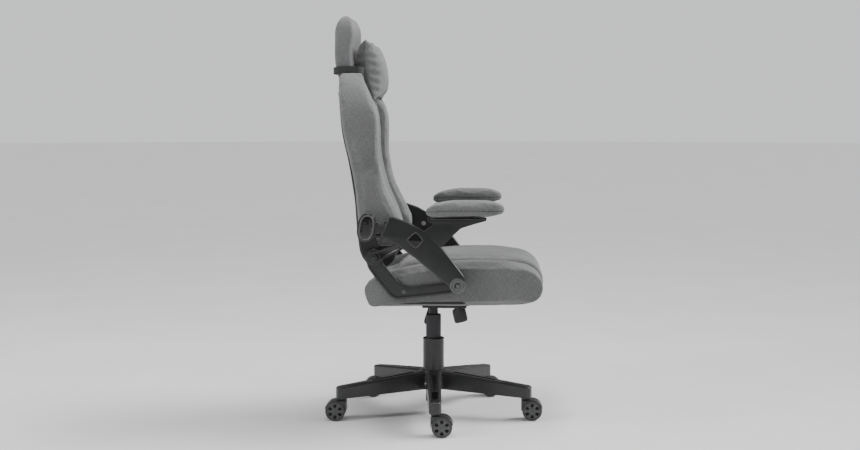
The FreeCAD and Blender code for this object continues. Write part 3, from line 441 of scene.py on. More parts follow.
def moulded_grain(tree, given):
    """Moulded or powder-coated skin: a fine grain, faint flow clouds and handling marks."""
    whole = whole_piece(tree)
    grain = noise_at(tree, whole, given["Grain"], 2.0, 0.6)
    cloud = noise_at(tree, whole, 14.0, 4.0, 0.6)
    tone = spread(tree, plus(tree, times(tree, cloud, 0.6), times(tree, grain, 0.4)), 0.35, 0.65)
    darker, lighter = (shade_of(tree, given["Tint"], strength) for strength in (0.78, 1.22))
    return (blend_colours(tree, tone, darker, lighter),
            spread(tree, cloud, to_low=given["Low"], to_high=given["High"]), grain)


def edge_wear(tree, given):
    """A mask of rubbed edges, broken up by noise."""
    sharp = spread(tree, put(tree, "NewGeometry").outputs["Pointiness"], 0.51, 0.6)
    broken = spread(tree, noise_at(tree, whole_piece(tree), 160.0, 4.0, 0.7), 0.35, 0.65)
    return [times(tree, times(tree, sharp, broken), given["Amount"])]


def settled_dust(tree, given):
    """A mask of dust on the surfaces that face up."""
    patchy = spread(tree, noise_at(tree, whole_piece(tree), 35.0, 5.0, 0.65), 0.35, 0.75)
    lying = spread(tree, facing(tree)[2], 0.3, 1.0)
    return [times(tree, times(tree, lying, patchy), given["Amount"])]


def ribbed_elastic(tree, given):
    """Woven elastic: fine ribs along the band and a heathered tone."""
    whole = whole_piece(tree)
    height = put(tree, "SeparateXYZ", {0: whole}).outputs[2]
    rib = calc(tree, "SINE", times(tree, calc(tree, "DIVIDE", height, given["Rib"]), math.tau))
    fleck = noise_at(tree, whole, 900.0, 2.0, 0.7)
    tone = plus(tree, spread(tree, fleck, to_low=0.2, to_high=0.8), times(tree, rib, 0.2))
    return (blend_colours(tree, tone, given["Tint"], shade_of(tree, given["Tint"], 2.4)),
            spread(tree, fleck, to_low=0.6, to_high=0.85), rib)


def machined_steel(tree, given):
    """Bright steel with fine drawing lines and dull patches."""
    whole = whole_piece(tree)
    drawn = put(tree, "Mapping", {"Vector": whole, "Scale": (40, 40, 1400)}).outputs[0]
    lines = noise_at(tree, drawn, 1.0, 3.0, 0.6)
    cloud = spread(tree, noise_at(tree, whole, 50.0, 3.0))
    return (blend_colours(tree, cloud, shade_of(tree, given["Tint"], 0.7), given["Tint"]),
            spread(tree, lines, to_low=0.22, to_high=0.42), lines)


GROUPS = {group.name: group for group in (
    new_group(woven_cloth, SURFACE, Thread=0.0016, Dark=grey(0.1), Light=grey(0.3), Slub=1.0),
    new_group(moulded_grain, SURFACE, Tint=grey(0.05), Grain=1500.0, Low=0.35, High=0.5),
    new_group(edge_wear, MASK, Amount=0.5),
    new_group(settled_dust, MASK, Amount=0.1),
    new_group(ribbed_elastic, SURFACE, Tint=grey(0.03), Rib=0.0022),
    new_group(machined_steel, SURFACE, Tint=grey(0.5)))}


def finish(name, group, values, bump=0.3, relief=0.2, wear=0.0, worn=grey(0.3), dust=0.0, **shader_values):
    """A material: a surface group, with worn edges and dust over it, feeding one Principled shader."""
    material = bpy.data.materials.new(name)
    material.use_nodes = True
    tree = material.node_tree
    shader = tree.nodes["Principled BSDF"]
    surface = put(tree, "Group", node_tree=GROUPS[group])
    for key, value in values.items():
        surface.inputs[key].default_value = value
    colour = surface.outputs["Colour"]
    if wear:
        rubbed = put(tree, "Group", node_tree=GROUPS["edge_wear"])
        rubbed.inputs["Amount"].default_value = wear
        colour = blend_colours(tree, rubbed.outputs["Mask"], colour, worn)
    if dust:
        film = put(tree, "Group", node_tree=GROUPS["settled_dust"])
        film.inputs["Amount"].default_value = dust
        colour = blend_colours(tree, film.outputs["Mask"], colour, grey(0.42, -0.03))
    tree.links.new(colour, shader.inputs["Base Color"])
    tree.links.new(surface.outputs["Roughness"], shader.inputs["Roughness"])
    bumps = put(tree, "Bump", {"Height": surface.outputs["Height"], "Strength": bump,
                               "Distance": relief * MM})
    tree.links.new(bumps.outputs[0], shader.inputs["Normal"])
    for key, value in shader_values.items():
        shader.inputs[key.replace("_", " ")].default_value = value
    return material


def moulded(name, tint, low, high, grain, bump, relief, worn=grey(0.3), **others):
    """A moulded or coated finish, its roughness between low and high."""
    values = {"Tint": tint, "Low": low, "High": high, "Grain": grain}
    return finish(name, "moulded_grain", values, bump, relief, worn=worn, **others)


CLOTH = finish("melange_cloth", "woven_cloth",
               {"Thread": 0.0012, "Dark": grey(0.045, 0.01), "Light": grey(0.25, 0.01)}, 0.5, 0.35,
               Sheen_Weight=0.25, Sheen_Roughness=0.5, Specular_IOR_Level=0.2)
THREAD = finish("seam_thread", "woven_cloth", {"Thread": 0.0012, "Dark": grey(0.02), "Light": grey(0.10)},
                0.4, 0.3, Sheen_Weight=0.1, Specular_IOR_Level=0.2)
ARM = moulded("arm_plastic", grey(0.018, 0.02), 0.28, 0.34, 1300.0, 0.12, 0.1, grey(0.1), wear=0.3,
              dust=0.015)
# A lighter copy of the arm plastic, used on rims, bosses and a screw as a painted highlight for the bright
# edges that light catches.
PAINTED_HIGHLIGHT = moulded("rim_painted_highlight", grey(0.085, 0.01), 0.2, 0.28, 1500.0, 0.06, 0.06, grey(0.2), wear=0.3, dust=0.01)
GLOSS = moulded("gloss_black", grey(0.003), 0.08, 0.16, 500.0, 0.02, 0.04, dust=0.01, Coat_Weight=0.3,
                Coat_Roughness=0.04)
NYLON = moulded("base_nylon", grey(0.018, 0.02), 0.26, 0.38, 1100.0, 0.2, 0.12, grey(0.12), wear=0.35,
                dust=0.03)
WHEEL = moulded("wheel_nylon", grey(0.075, 0.01), 0.35, 0.5, 900.0, 0.3, 0.15, grey(0.14), wear=0.5,
                dust=0.04)
TREAD = moulded("wheel_tread", grey(0.06), 0.5, 0.7, 800.0, 0.4, 0.2, grey(0.2), wear=0.3, dust=0.05)
PANEL = moulded("panel_black", grey(0.012), 0.42, 0.58, 1200.0, 0.25, 0.15, grey(0.1), wear=0.25, dust=0.03)
COATED = moulded("steel_black", grey(0.018), 0.3, 0.45, 1600.0, 0.15, 0.1, grey(0.22), wear=0.45, dust=0.05)
BRIGHT = finish("steel_bright", "machined_steel", {"Tint": grey(0.55)}, 0.15, 0.05, wear=0.2,
                worn=grey(0.75),
                Metallic=1.0)
STRAP = finish("strap_elastic", "ribbed_elastic", {"Tint": grey(0.016, 0.02)}, 0.6, 0.4, Sheen_Weight=0.15,
               Specular_IOR_Level=0.25)

# The CAD parts that stay in view show the frame's own plain materials, not the finishes above.
for part_name in ("column_tube", "stem_sockets"):
    paint(frame["nodes"][part_name], bpy.data.materials["base_nylon"])


# --- star base

LEG_ANGLES = [183.14 + 72 * index for index in range(5)]
LEG_START, LEG_END = 30, 315
HUB_RADIUS, STEM_CIRCLE = 21, 297
BAR_LOW, BAR_HIGH, BAR_WIDTH = 80, 140, 46
RIB_PLACES = (95, 135, 175, 215)


def leg_height(distance, at_hub, at_tip):
    """A leg's height at a distance from the middle, between its height at the hub and over the stem."""
    return at_hub + (distance - HUB_RADIUS) / (STEM_CIRCLE - HUB_RADIUS) * (at_tip - at_hub)


def slope_leg(piece):
    """Tapers a straight bar into a leg that is lower and narrower at its tip."""
    for point in piece.data.vertices:
        distance = point.co.x / MM
        low, high = leg_height(distance, 82, 69), leg_height(distance, 139, 106)
        point.co.y *= 1 - 0.22 * (distance - LEG_START) / (LEG_END - LEG_START)
        point.co.z = (low + (point.co.z / MM - BAR_LOW) / (BAR_HIGH - BAR_LOW) * (high - low)) * MM


def star_leg():
    """One leg along +X, with a groove along its top and a hollow underneath."""
    leg = cuboid((LEG_START, -BAR_WIDTH / 2, BAR_LOW), (LEG_END, BAR_WIDTH / 2, BAR_HIGH))
    for distance in (58, 70, 140, 208, 220, 262, 290):
        edit(leg, "FACE", everywhere)
        bpy.ops.mesh.bisect(plane_co=(distance * MM, 0, 0), plane_no=(1, 0, 0))
    end = LEG_END * MM - 1e-5
    edit(leg, "EDGE", lambda a, b: a.x > end and b.x > end and abs(a.z - b.z) > 0.03)
    bpy.ops.mesh.bevel(offset=15 * MM, segments=6)
    close_edit()
    top = BAR_HIGH * MM - 1e-5
    edit(leg, "FACE", lambda centre, normal: normal.z < -0.9 and 0.058 < centre.x < 0.262)
    inset(4.5)
    bpy.ops.mesh.extrude_region_move(TRANSFORM_OT_translate={"value": (0, 0, 40 * MM)})
    close_edit()
    edit(leg, "EDGE", lambda a, b: a.z > top and b.z > top and (a.y * b.y > 1e-6 or min(a.x,
                                                                                        b.x) > end - 1e-5))
    bpy.ops.mesh.bevel(offset=8 * MM, segments=4)
    close_edit()
    edit(leg, "FACE", lambda centre,
         normal: normal.z > 0.95 and centre.z > top and 0.058 < centre.x < 0.208)
    inset(7.5)
    inset(1.5, -6)
    close_edit()
    edit(leg, "FACE", lambda centre, normal: normal.z > 0.95 and centre.z > top and 0.22 < centre.x < 0.29)
    inset(1.6)
    inset(0.4, -1.6)
    close_edit()
    slope_leg(leg)
    return soften_shading(ease_edges(weld(leg), 1.2, 2, 38), 40)


def star_base():
    """The hub with its five legs, and the glossy plates let into the legs' tips."""
    leg = star_leg()
    ribs = [soften_shading(cuboid((place - 1.5, -17, 90), (place + 1.5, 17, 108))) for place in RIB_PLACES]
    socket = turned("leg_socket", [(14, 64.6), (14.5, 66), (15.5, 90)],
                    Matrix.Translation((STEM_CIRCLE * MM, 0, 0)))
    leg = join("leg", leg, socket, *ribs)
    pad = plate("leg_plate", [[(223, -12, 4), (288, -11, 8), (288, 11, 8), (223, 12, 4)]], 139.2, 141.4,
                0.8, "level")
    slope_leg(pad)
    soften_shading(pad)
    hub = turned("hub", [(38, 80), (42, 83), (42.5, 136), (41, 140), (38.5, 141)])
    collar = turned("hub_collar", [(44, 84), (46, 90), (46, 98), (42, 104)])
    legs, pads = [hub, collar], []
    for index, angle in enumerate(LEG_ANGLES):
        turn = Matrix.Rotation(math.radians(angle), 4, "Z")
        legs.append(copy_of(leg, f"leg_{index}", turn))
        pads.append(copy_of(pad, f"leg_plate_{index}", turn))
    for pattern in (leg, pad):
        bpy.data.objects.remove(pattern)
    fit(paint(join("star_base_body", *legs), NYLON), "base", "base_nylon", "star_base")
    fit(paint(join("leg_plates", *pads), GLOSS), "base", "insert_gloss", "leg_inserts")


star_base()


# --- casters

WHEEL_CENTRE = (20, 30.5)
AT_AXLE = Matrix.Translation((WHEEL_CENTRE[0] * MM, 0, WHEEL_CENTRE[1] * MM))


def arc(radius, start, stop, count):
    """Points round the wheel's centre, by angle in degrees."""
    points = []
    for index in range(count):
        angle = math.radians(start + (stop - start) * index / (count - 1))
        points.append((WHEEL_CENTRE[0] + radius * math.cos(angle),
                       WHEEL_CENTRE[1] + radius * math.sin(angle)))
    return points


def caster_housing():
    """The hood over both wheels, the web between them, the neck and the stem."""
    hood_line = arc(33.4, 14, 112, 12) + [(4, 62.2), (-9, 62.2), (-13.2, 58),
                                          (-13.4, 31)] + arc(31.3, 178, 14, 18)
    hood = plate("hood", [hood_line], -23.5, 23.5, 0.8, "front", 1)
    web = plate("web", [arc(29, 0, 345, 24)], -4.5, 4.5, 1.0, "front", 1)
    neck = turned("neck", [(11, 52), (12.5, 56), (12.5, 61), (11.5, 63.5)])
    stem = paint(turned("stem", [(9, 61), (9.5, 61.4), (9.5, 63.8), (5.5, 64), (5.5, 99), (4.5, 100)]),
                 BRIGHT)
    axle = paint(turned("axle", [(3, -22), (3, 22)], AT_AXLE @ PLANES["front"]), BRIGHT)
    coat(NYLON, hood, web, neck)
    return join("housing", hood, web, neck, stem, axle)


def caster_wheel():
    """One wheel, from its inner face at 5.5 to its outer face at 24.5 along the axle."""
    tyre = turned("tyre", [(30.5 - 6, 5.6), (29.2, 5.6), (30.3, 7), (30.5, 9), (30.5, 21), (30.2, 22.6),
                           (29, 23.8), (27.4, 24.3), (26.4, 24.3), (25.8, 23.2), (25.2, 21.6), (25, 14),
                           (3.2, 14)], segments=64)
    # A dark disc behind the face's holes, painted shade so that the holes read as shaded hollows.
    shade_disc = paint(turned("wheel_well", [(24.9, 13.4), (24.9, 14.6), (0.5, 14.6)], segments=32), PANEL)
    petals = []
    for index in range(6):
        turn = Matrix.Rotation(math.radians(60 * index + 30), 2)
        corners = [(10.5, 0, 1.5), (15, -4.6, 3), (21.5, -5.2, 3), (22.8, 0, 6), (21.5, 5.2, 3),
                   (15, 4.6, 3)]
        petals.append([(*(turn @ Vector(corner[:2])), corner[2]) for corner in corners])
    rim = [[(math.cos(math.radians(a)) * 25.4, math.sin(math.radians(a)) * 25.4) for a in range(0, 360, 8)]]
    face = plate("wheel_face", rim + petals, 20.4, 23.8, 0.7, "level", 3)
    cap = turned("wheel_cap", [(8.5, 21), (8.5, 23.6), (7.6, 24.2), (5, 24.4), (4.4, 23.8), (0.5, 24.1)],
                 segments=32)
    paint(tyre, TREAD)
    coat(WHEEL, face, cap)
    return join("wheel", tyre, shade_disc, face, cap)


def casters():
    housing = caster_housing()
    wheel = caster_wheel()
    for number, leg_angle in enumerate(LEG_ANGLES, 1):
        low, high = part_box(f"caster_wheels_{number}")
        middle = (low + high) / 2
        stem_angle = math.radians(leg_angle)
        foot = Vector((math.cos(stem_angle), math.sin(stem_angle), 0)) * STEM_CIRCLE * MM
        heading = math.atan2(middle.y - foot.y, middle.x - foot.x)
        place = Matrix.Translation(foot) @ Matrix.Rotation(heading, 4, "Z")
        fit(copy_of(housing, f"caster_housing_{number}", place), f"caster_{number}_swivel", "base_nylon",
            f"caster_{number}")
        pair = []
        for side in (0, 180):
            turn = Matrix.Rotation(math.radians(side), 4, "Z") @ PLANES["front"]
            pair.append(copy_of(wheel, f"wheel_{number}_{side}", place @ AT_AXLE @ turn))
        fit(join(f"caster_pair_{number}", *pair), f"caster_{number}_axle", "wheel_nylon",
            f"caster_wheels_{number}")
    bpy.data.objects.remove(housing)
    bpy.data.objects.remove(wheel)


casters()


# --- column, knob and lever

outer_cover = turned("lower_cover", [(33.4, 141.2), (33.4, 145), (32.9, 146), (32.9, 234), (33.5, 236),
                                     (33.5, 239), (32.8, 240), (31.7, 240), (31.4, 239), (31.4, 141.2)],
                     segments=64, hollow=True)
fit(paint(outer_cover, NYLON), "cover", "base_nylon", "cover_lower")
inner_cover = turned("middle_cover", [(30.8, 142), (30.8, 152), (29, 236), (28.2, 237.5), (26, 238),
                                      (25.6, 237), (27.2, 234), (28.8, 142)], segments=64, hollow=True)
bodies = frame["record"]["behaviour"]["bodies"]
cover_body = next(body for body in bodies if "cover_middle" in bodies[body])
fit(paint(inner_cover, NYLON), cover_body, "base_nylon", "cover_middle")


def tension_knob():
    """The ribbed tension knob, leaning with its bolt."""
    knob = turned("knob", [(16, -42), (19.5, -41.4), (21, -39), (21.4, -30), (21.4, -6), (20.6, -3.4),
                           (19, -2.4), (17.5, -2.6)], segments=72)
    edit(knob, "FACE", lambda centre, normal: -0.039 < centre.z < -0.006 and abs(normal.z) < 0.4
         and int((math.degrees(math.atan2(centre.y, centre.x)) + 360) // 5) % 3 == 0)
    inset(0.3, -1.1)
    close_edit()
    skirt = paint(turned("knob_skirt", [(17, -3), (20, -2.8), (20, 0), (17, 0.5)]), COATED)
    coat(ARM, knob)
    lean = Matrix.Translation((0, -78 * MM, 331 * MM)) @ Matrix.Rotation(math.radians(-13), 4, "X")
    return settle(join("tension_knob_body", knob, skirt), lean)


fit(tension_knob(), "knob", "base_nylon", "tension_knob")
fit(paint(eased("lever_handle", "lever_paddle", 2.4), ARM), "lift_lever", "base_nylon", "lever_handle")
fit(paint(eased("recline_lever", "recline_handle", 1.8), ARM), "release_lever", "arm_plastic",
    "recline_lever")


# --- arm linkage

ARM_PIVOT = (-81, 444)
HINGE = (166, 522)
EYE, EYE_LEAN = (184, 612), math.radians(9.5)
LINK_SLOPE = math.radians(14.3)
GUIDE_END = (43, 575)
BEAM = [(-104, 452, 14), (-101, 470, 30), (-60, 524, 60), (-32, 558, 40), (14, 600, 60), (62, 628, 60),
        (117, 647, 7), (145, 585, 7), (92, 560, 50), (40, 522, 50), (-4, 485, 60), (-47, 448, 20),
        (-70, 425, 14)]
PAD_ARM = [(-14, 560, 6), (-40, 561, 6), (-62, 585, 16), (-90, 611, 20), (-124, 622, 30), (-163, 633, 2),
           (-165, 641, 1.5), (7, 641, 2), (6, 631, 3), (-15, 623, 10), (16, 602, 8), (30, 574, 6)]
WINDOW = [(17, 576, 9), (40, 603, 8), (68, 577, 8), (40, 549, 9)]
V_PLATE = [(190, 517, 8), (180, 488, 30), (160, 460, 40), (118, 408, 26), (100, 398, 20), (-2, 409, 40),
           (-96, 421, 16), (-95, 462, 14), (-48, 447, 12), (60, 436, 24), (80, 440, 24), (96, 455, 24),
           (138, 505, 16), (144, 535, 14)]


def recess(piece, margin, depth, level, slope=1.2):
    """Sinks the middle of a plate's outer face and leaves a rim."""
    edit(piece, "FACE", lambda centre, normal: normal.x > 0.99 and centre.x > level * MM)
    bpy.ops.mesh.dissolve_faces()
    inset(margin, 0, False)
    inset(slope, -depth, False)
    close_edit()
    return piece


def eye_line(half_width, half_height):
    """An upright oval round the back's pin, leaning forward at the top."""
    points = []
    for step in range(20):
        cosine, sine = math.cos(math.tau * step / 20), math.sin(math.tau * step / 20)
        x = math.copysign(half_width * abs(cosine) ** 0.82, cosine)
        z = math.copysign(half_height * abs(sine) ** 0.82, sine)
        points.append((EYE[0] + x * math.cos(EYE_LEAN) - z * math.sin(EYE_LEAN),
                       EYE[1] + x * math.sin(EYE_LEAN) + z * math.cos(EYE_LEAN)))
    return smooth_line(points)


def link_line(start, end, half_width, radius=2):
    """The outline of a straight bar of the sliding link, measured from the eye into the arm."""
    corners = []
    for along, across in ((start, -half_width), (end, -half_width), (end, half_width), (start, half_width)):
        corners.append((EYE[0] - along * math.cos(LINK_SLOPE) - across * math.sin(LINK_SLOPE),
                        EYE[1] - along * math.sin(LINK_SLOPE) + across * math.cos(LINK_SLOPE), radius))
    return corners


def arm():
    """The swinging arm: a curved beam, the branch under the pad, and its pivot boss."""
    beam = plate("arm_beam", [BEAM], 272.2, 293.4, 5.5, bevel_steps=5)
    branch = plate("arm_branch", [PAD_ARM], 273.5, 291, 1.4)
    mouth = plate("arm_mouth", [link_line(45, 53, 31, 5)], 272.6, 292.6, 2.4)
    boss = turned("arm_boss", [(23, -22), (23.5, -2), (22.5, 0), (20, 1.1), (18.5, 1.1), (17.8, 0.2),
                               (13, 0.2), (12.2, 1), (9.5, 1), (9, 0), (5.8, 0), (5.4, 0.9), (4.4, 1.3),
                               (0.6, 1.4)], outwards(293.4, *ARM_PIVOT))
    low, high = 241.6, 309.6
    ledge = plate("pad_ledge", [[(low, -163, 30), (high, -163, 30), (high, -2, 14), (low, -2, 14)]],
                  637.5, 641.2, 1.2, "level")
    coat(ARM, beam, branch, mouth, ledge)
    # The pivot boss is painted in the lighter rim plastic as a painted highlight.
    return join("arm_left_shell", beam, branch, mouth, ledge, paint(boss, PAINTED_HIGHLIGHT))


def window_cap():
    """The glossy diamond let into the arm, inside a raised rim."""
    rim = plate("cap_rim", [WINDOW, [(19.5, 576, 8), (40, 600, 7), (65.5, 577, 7), (40, 552, 8)]], 291,
                295.2, 1.1)
    glass = plate("cap_glass", [[(19, 576, 8), (40, 600.5, 7), (66, 577, 7), (40, 551.5, 8)]], 289, 294,
                  2.2, bevel_steps=5)
    # The raised rim is painted lighter than the arm as a painted highlight.
    coat(PAINTED_HIGHLIGHT, rim)
    coat(GLOSS, glass)
    return join("arm_window_left", rim, glass)


def v_bracket():
    """The V-shaped plate on the seat's side, with its raised rim, its bosses and its corner screw."""
    body = recess(plate("v_plate", [V_PLATE], 254.7, 264.6, 2.2), 3.4, 2.0, 264)
    lip = plate("v_lip", [[(172, 482, 4), (150, 452, 40), (112, 410, 26), (98, 404, 20), (-2, 415, 40),
                           (-88, 426, 3), (-88, 429, 3), (-2, 419, 40), (96, 408, 20), (108, 412, 26),
                           (146, 455, 40), (168, 484, 4)]], 261, 264.2, 0.8)
    front = turned("v_front_boss", [(22, -16.5), (22, -1), (21, 0)], outwards(271.4, *ARM_PIVOT))
    rear = turned("v_rear_boss", [(25, -10), (25.3, -1.5), (24, 0), (21.5, 0.2), (21, -0.8)],
                  outwards(264.8, *HINGE))
    screw = turned("v_screw", [(6, -2), (6, 0), (5.2, 1), (3.2, 1.3), (2.9, 0.1), (0.5, 0)],
                   outwards(263.2, 76, 421), 24)
    coat(ARM, body, lip, front, rear)
    # The corner screw is painted in the lighter rim plastic as a painted highlight.
    return join("bracket_left_shell", body, lip, front, rear, paint(screw, PAINTED_HIGHLIGHT))


def guide_bar():
    """The bar from the recline hinge to the slot behind the arm's window."""
    origin, far = Vector(HINGE), Vector(GUIDE_END)
    along = (far - origin).normalized()
    across = Vector((-along.y, along.x))
    corners = [origin + across * 16, origin - across * 15, far - across * 9, far + across * 9]
    bar = recess(plate("guide_plate", [[(*corner, 5) for corner in corners]], 265.3, 271.4, 1.4), 2.5, 0.6,
                 271)
    eye = turned("guide_eye", [(19.5, -5), (20, -1), (19, 0), (16.5, 0.2), (16, -0.8), (12.5, -0.8),
                               (12, 0.4), (9.6, 0.6), (9, -0.6), (7, -0.6), (6.6, 0.4), (5.6, 0.9),
                               (0.6, 1)], outwards(271.6, *HINGE))
    tip = turned("guide_tip", [(9, -5), (9, 0)], outwards(271.4, *GUIDE_END))
    pin = turned("guide_pin", [(5, 0), (5, 10)], outwards(271, *GUIDE_END), 24)
    coat(ARM, bar, eye, tip, pin)
    inwards = outwards(265.4, *GUIDE_END) @ Matrix.Rotation(math.pi, 4, "X")
    bolt = paint(turned("guide_bolt", [(7.4, -1), (7.4, 0.9), (6.6, 1.3), (4.4, 1.3), (4, 2.6), (3.4, 3),
                                       (0.5, 3.1)], inwards, 32), BRIGHT)
    return join("guide_left_shell", bar, eye, tip, pin, bolt)


def sliding_link():
    """The oval eye round the back's pin, with its double rim, and the tongue that slides in the arm."""
    ring = plate("link_ring", [eye_line(27, 41.5), eye_line(18, 34)], 273.2, 288, 2.6, bevel_steps=4)
    inner = plate("link_inner_ring", [eye_line(22.5, 37), eye_line(16.8, 32.6)], 280, 290.6, 1.6)
    tongue = recess(plate("link_tongue", [link_line(23, 112, 19.6)], 276.3, 288.6, 1.6), 3, 0.6, 288)
    collar = plate("link_collar", [link_line(22, 31, 22.5, 3)], 275, 289.4, 1.6)
    coat(ARM, ring, tongue, collar)
    # The inner ring is painted lighter than the arm as a painted highlight.
    coat(PAINTED_HIGHLIGHT, inner)
    return join("link_left_shell", ring, inner, tongue, collar)


def eye_cap():
    """The glossy oval that closes the eye."""
    cap = plate("eye_glass", [eye_line(17.2, 33)], 286, 290.2, 1.6, bevel_steps=5)
    edit(cap, "FACE", lambda centre, normal: normal.x > 0.99)
    bpy.ops.mesh.dissolve_faces()
    inset(5, 0.7)
    inset(4, 0.3)
    close_edit()
    return join("eye_cap_left", paint(soften_shading(cap), GLOSS))


for build, body_form, slot_name, node_form in (
        (arm, "arm_{}_body", "arm_plastic", "arm_{}"),
        (window_cap, "arm_{}_body", "insert_gloss", "arm_cap_{}"),
        (v_bracket, "seat", "arm_plastic", "arm_bracket_{}"),
        (guide_bar, "guide_{}_body", "arm_plastic", "guide_bar_{}"),
        (sliding_link, "link_{}_body", "arm_plastic", "link_{}"),
        (eye_cap, "link_{}_body", "insert_gloss", "link_cap_{}")):
    left = build()
    right = other_side(left, left.name.replace("left", "right"))
    fit(left, body_form.format("left"), slot_name, node_form.format("left"))
    fit(right, body_form.format("right"), slot_name, node_form.format("right"))


# --- upholstery

def carve(piece, cutter):
    """Keeps the part of a piece that is inside a cutter, and uses the cutter up."""
    work(piece, "BOOLEAN", operation="INTERSECT", solver="EXACT", object=cutter)
    bpy.data.objects.remove(cutter)
    return piece


def inflate(piece, travel, pressure=4.0, quality=4, mass=0.3, stiffness=15):
    """Swells a piece with a short cloth run. No point moves further than travel."""
    start = [point.co.copy() for point in piece.data.vertices]
    select_only(piece)
    cloth = piece.modifiers.new("Cloth", "CLOTH")
    fabric = cloth.settings
    fabric.quality, fabric.mass = quality, mass
    fabric.tension_stiffness = fabric.compression_stiffness = stiffness
    fabric.use_pressure, fabric.uniform_pressure_force = True, pressure
    fabric.effector_weights.gravity = 0
    cloth.collision_settings.use_collision = False
    cloth.point_cache.frame_start, cloth.point_cache.frame_end = 1, 20
    for step in range(1, 21):
        scene.frame_set(step)
    bpy.ops.object.modifier_apply(modifier=cloth.name)
    scene.frame_set(1)
    for point, origin in zip(piece.data.vertices, start):
        moved = point.co - origin
        if moved.length > travel * MM:
            point.co = origin + moved * (travel * MM / moved.length)
    return piece


def stuff(piece, travel, voxel, rounding, limits=None):
    """Rounds a cushion's edges, swells it, and keeps its points within their limits."""
    work(piece, "REMESH", mode="VOXEL", voxel_size=voxel * MM)
    work(piece, "SMOOTH", factor=0.5, iterations=rounding)
    inflate(piece, travel)
    if limits is not None:
        for point in piece.data.vertices:
            limits(point.co)
    return piece


def round_off(piece):
    """One subdivision, and smooth shading."""
    work(piece, "SUBSURF", levels=1, render_levels=1)
    return soften_shading(piece, 80)


def sew(piece, name, points, closed=False, depth=1.6, width=5.0, radius=0.7):
    """Presses a seam into a cushion along points near its surface, and lays a thread in it."""
    on_surface = {"target": piece, "wrap_method": "NEAREST_SURFACEPOINT", "wrap_mode": "ON_SURFACE"}
    smooth_curve(points, closed, 16)
    line = convert()
    work(line, "SHRINKWRAP", **on_surface)
    tree = kdtree.KDTree(len(line.data.vertices))
    for index, point in enumerate(line.data.vertices):
        tree.insert(point.co, index)
    tree.balance()
    pressed = []
    for point in piece.data.vertices:
        distance = tree.find(point.co)[2]
        if distance < width * MM:
            pressed.append((point, point.normal.copy(), 1 - (distance / (width * MM)) ** 2))
    for point, normal, share in pressed:
        point.co -= normal * depth * MM * share * share
    work(line, "SHRINKWRAP", **on_surface)
    select_only(line)
    line = convert("CURVE")
    line.data.bevel_depth = radius * MM
    line.data.bevel_resolution = 1
    line.data.use_fill_caps = not closed
    line = weld(join(name, convert()))
    return paint(soften_shading(line, 80), THREAD)


SEAT_SIDE = [(179, 377), (188, 394), (194, 414), (195, 434), (184, 443), (168, 454), (146, 464), (96, 478),
             (40, 490), (-30, 500), (-145, 505), (-245, 501), (-294, 490), (-321, 469), (-331, 441),
             (-329, 416), (-319, 400), (-302, 390), (-262, 387), (-100, 383), (40, 379), (140, 375.5)]
SEAT_MIDDLE = [(168, 381), (180, 396), (182, 414), (176, 431), (156, 442), (126, 452), (98, 474), (66, 494),
               (30, 505), (-40, 512), (-145, 515), (-245, 511), (-296, 501), (-325, 480), (-338, 446),
               (-336, 412), (-326, 393), (-310, 381), (-290, 378), (-262, 380), (-40, 382), (110, 380)]
BACK_REAR = [(193, 560), (206, 590), (213, 646), (217, 690), (222, 734), (228, 772), (236, 807), (243, 836),
             (251, 879), (258, 923), (265, 981), (270, 1030), (272, 1062)]
BACK_SIDE_FRONT = [(212, 1070), (203, 1039), (190, 1010), (177, 981), (165, 957), (160, 937), (158, 908),
                   (158, 870), (158, 835), (156, 805), (151, 776), (145, 747), (137, 721), (123, 690),
                   (106, 656), (90, 623), (79, 592), (84, 562), (130, 552)]
BACK_SIDE_VIEW = [(148, 545), (237, 545), (241, 570), (241, 640), (238, 695), (240, 750), (248, 830),
                  (256, 900), (254, 950), (238, 1000), (206, 1034), (170, 1054), (148, 1062)]
BACK_MIDDLE_REAR = [(150, 506), (160, 548), (182, 592), (206, 690), (226, 790), (242, 880), (254, 960),
                    (256, 1014)]
BACK_MIDDLE_FRONT = [(212, 1014), (188, 960), (179, 908), (177, 835), (168, 776), (154, 721), (138, 680),
                     (121, 640), (108, 600), (101, 560), (108, 512)]
HEAD_LINE = [(258, 1006), (276, 1040), (286, 1075), (290, 1110), (290, 1160), (289, 1192), (282, 1216),
             (270, 1232), (256, 1236), (242, 1228), (233, 1210), (230, 1186), (231, 1160), (234, 1130),
             (234, 1095), (230, 1058), (222, 1024), (226, 1006)]
HEAD_VIEW = [(-142, 1000, 2), (142, 1000, 2), (142, 1238, 52), (-142, 1238, 52)]
SHELL_LINE = [(165, 477), (190, 482), (210, 491), (231, 516), (241, 562), (247, 624), (250, 671),
              (256, 718), (269, 796), (286, 873), (292, 920), (296, 981), (296, 1008), (284, 1014),
              (262, 1006), (258, 960), (246, 880), (230, 790), (210, 690), (196, 610), (176, 572),
              (136, 562), (114, 548), (108, 524), (116, 500), (138, 484)]
SHELL_HALF = 172
SEAT_TOP = 0.46  # the height, in metres, above which the seat pads' points belong to their top


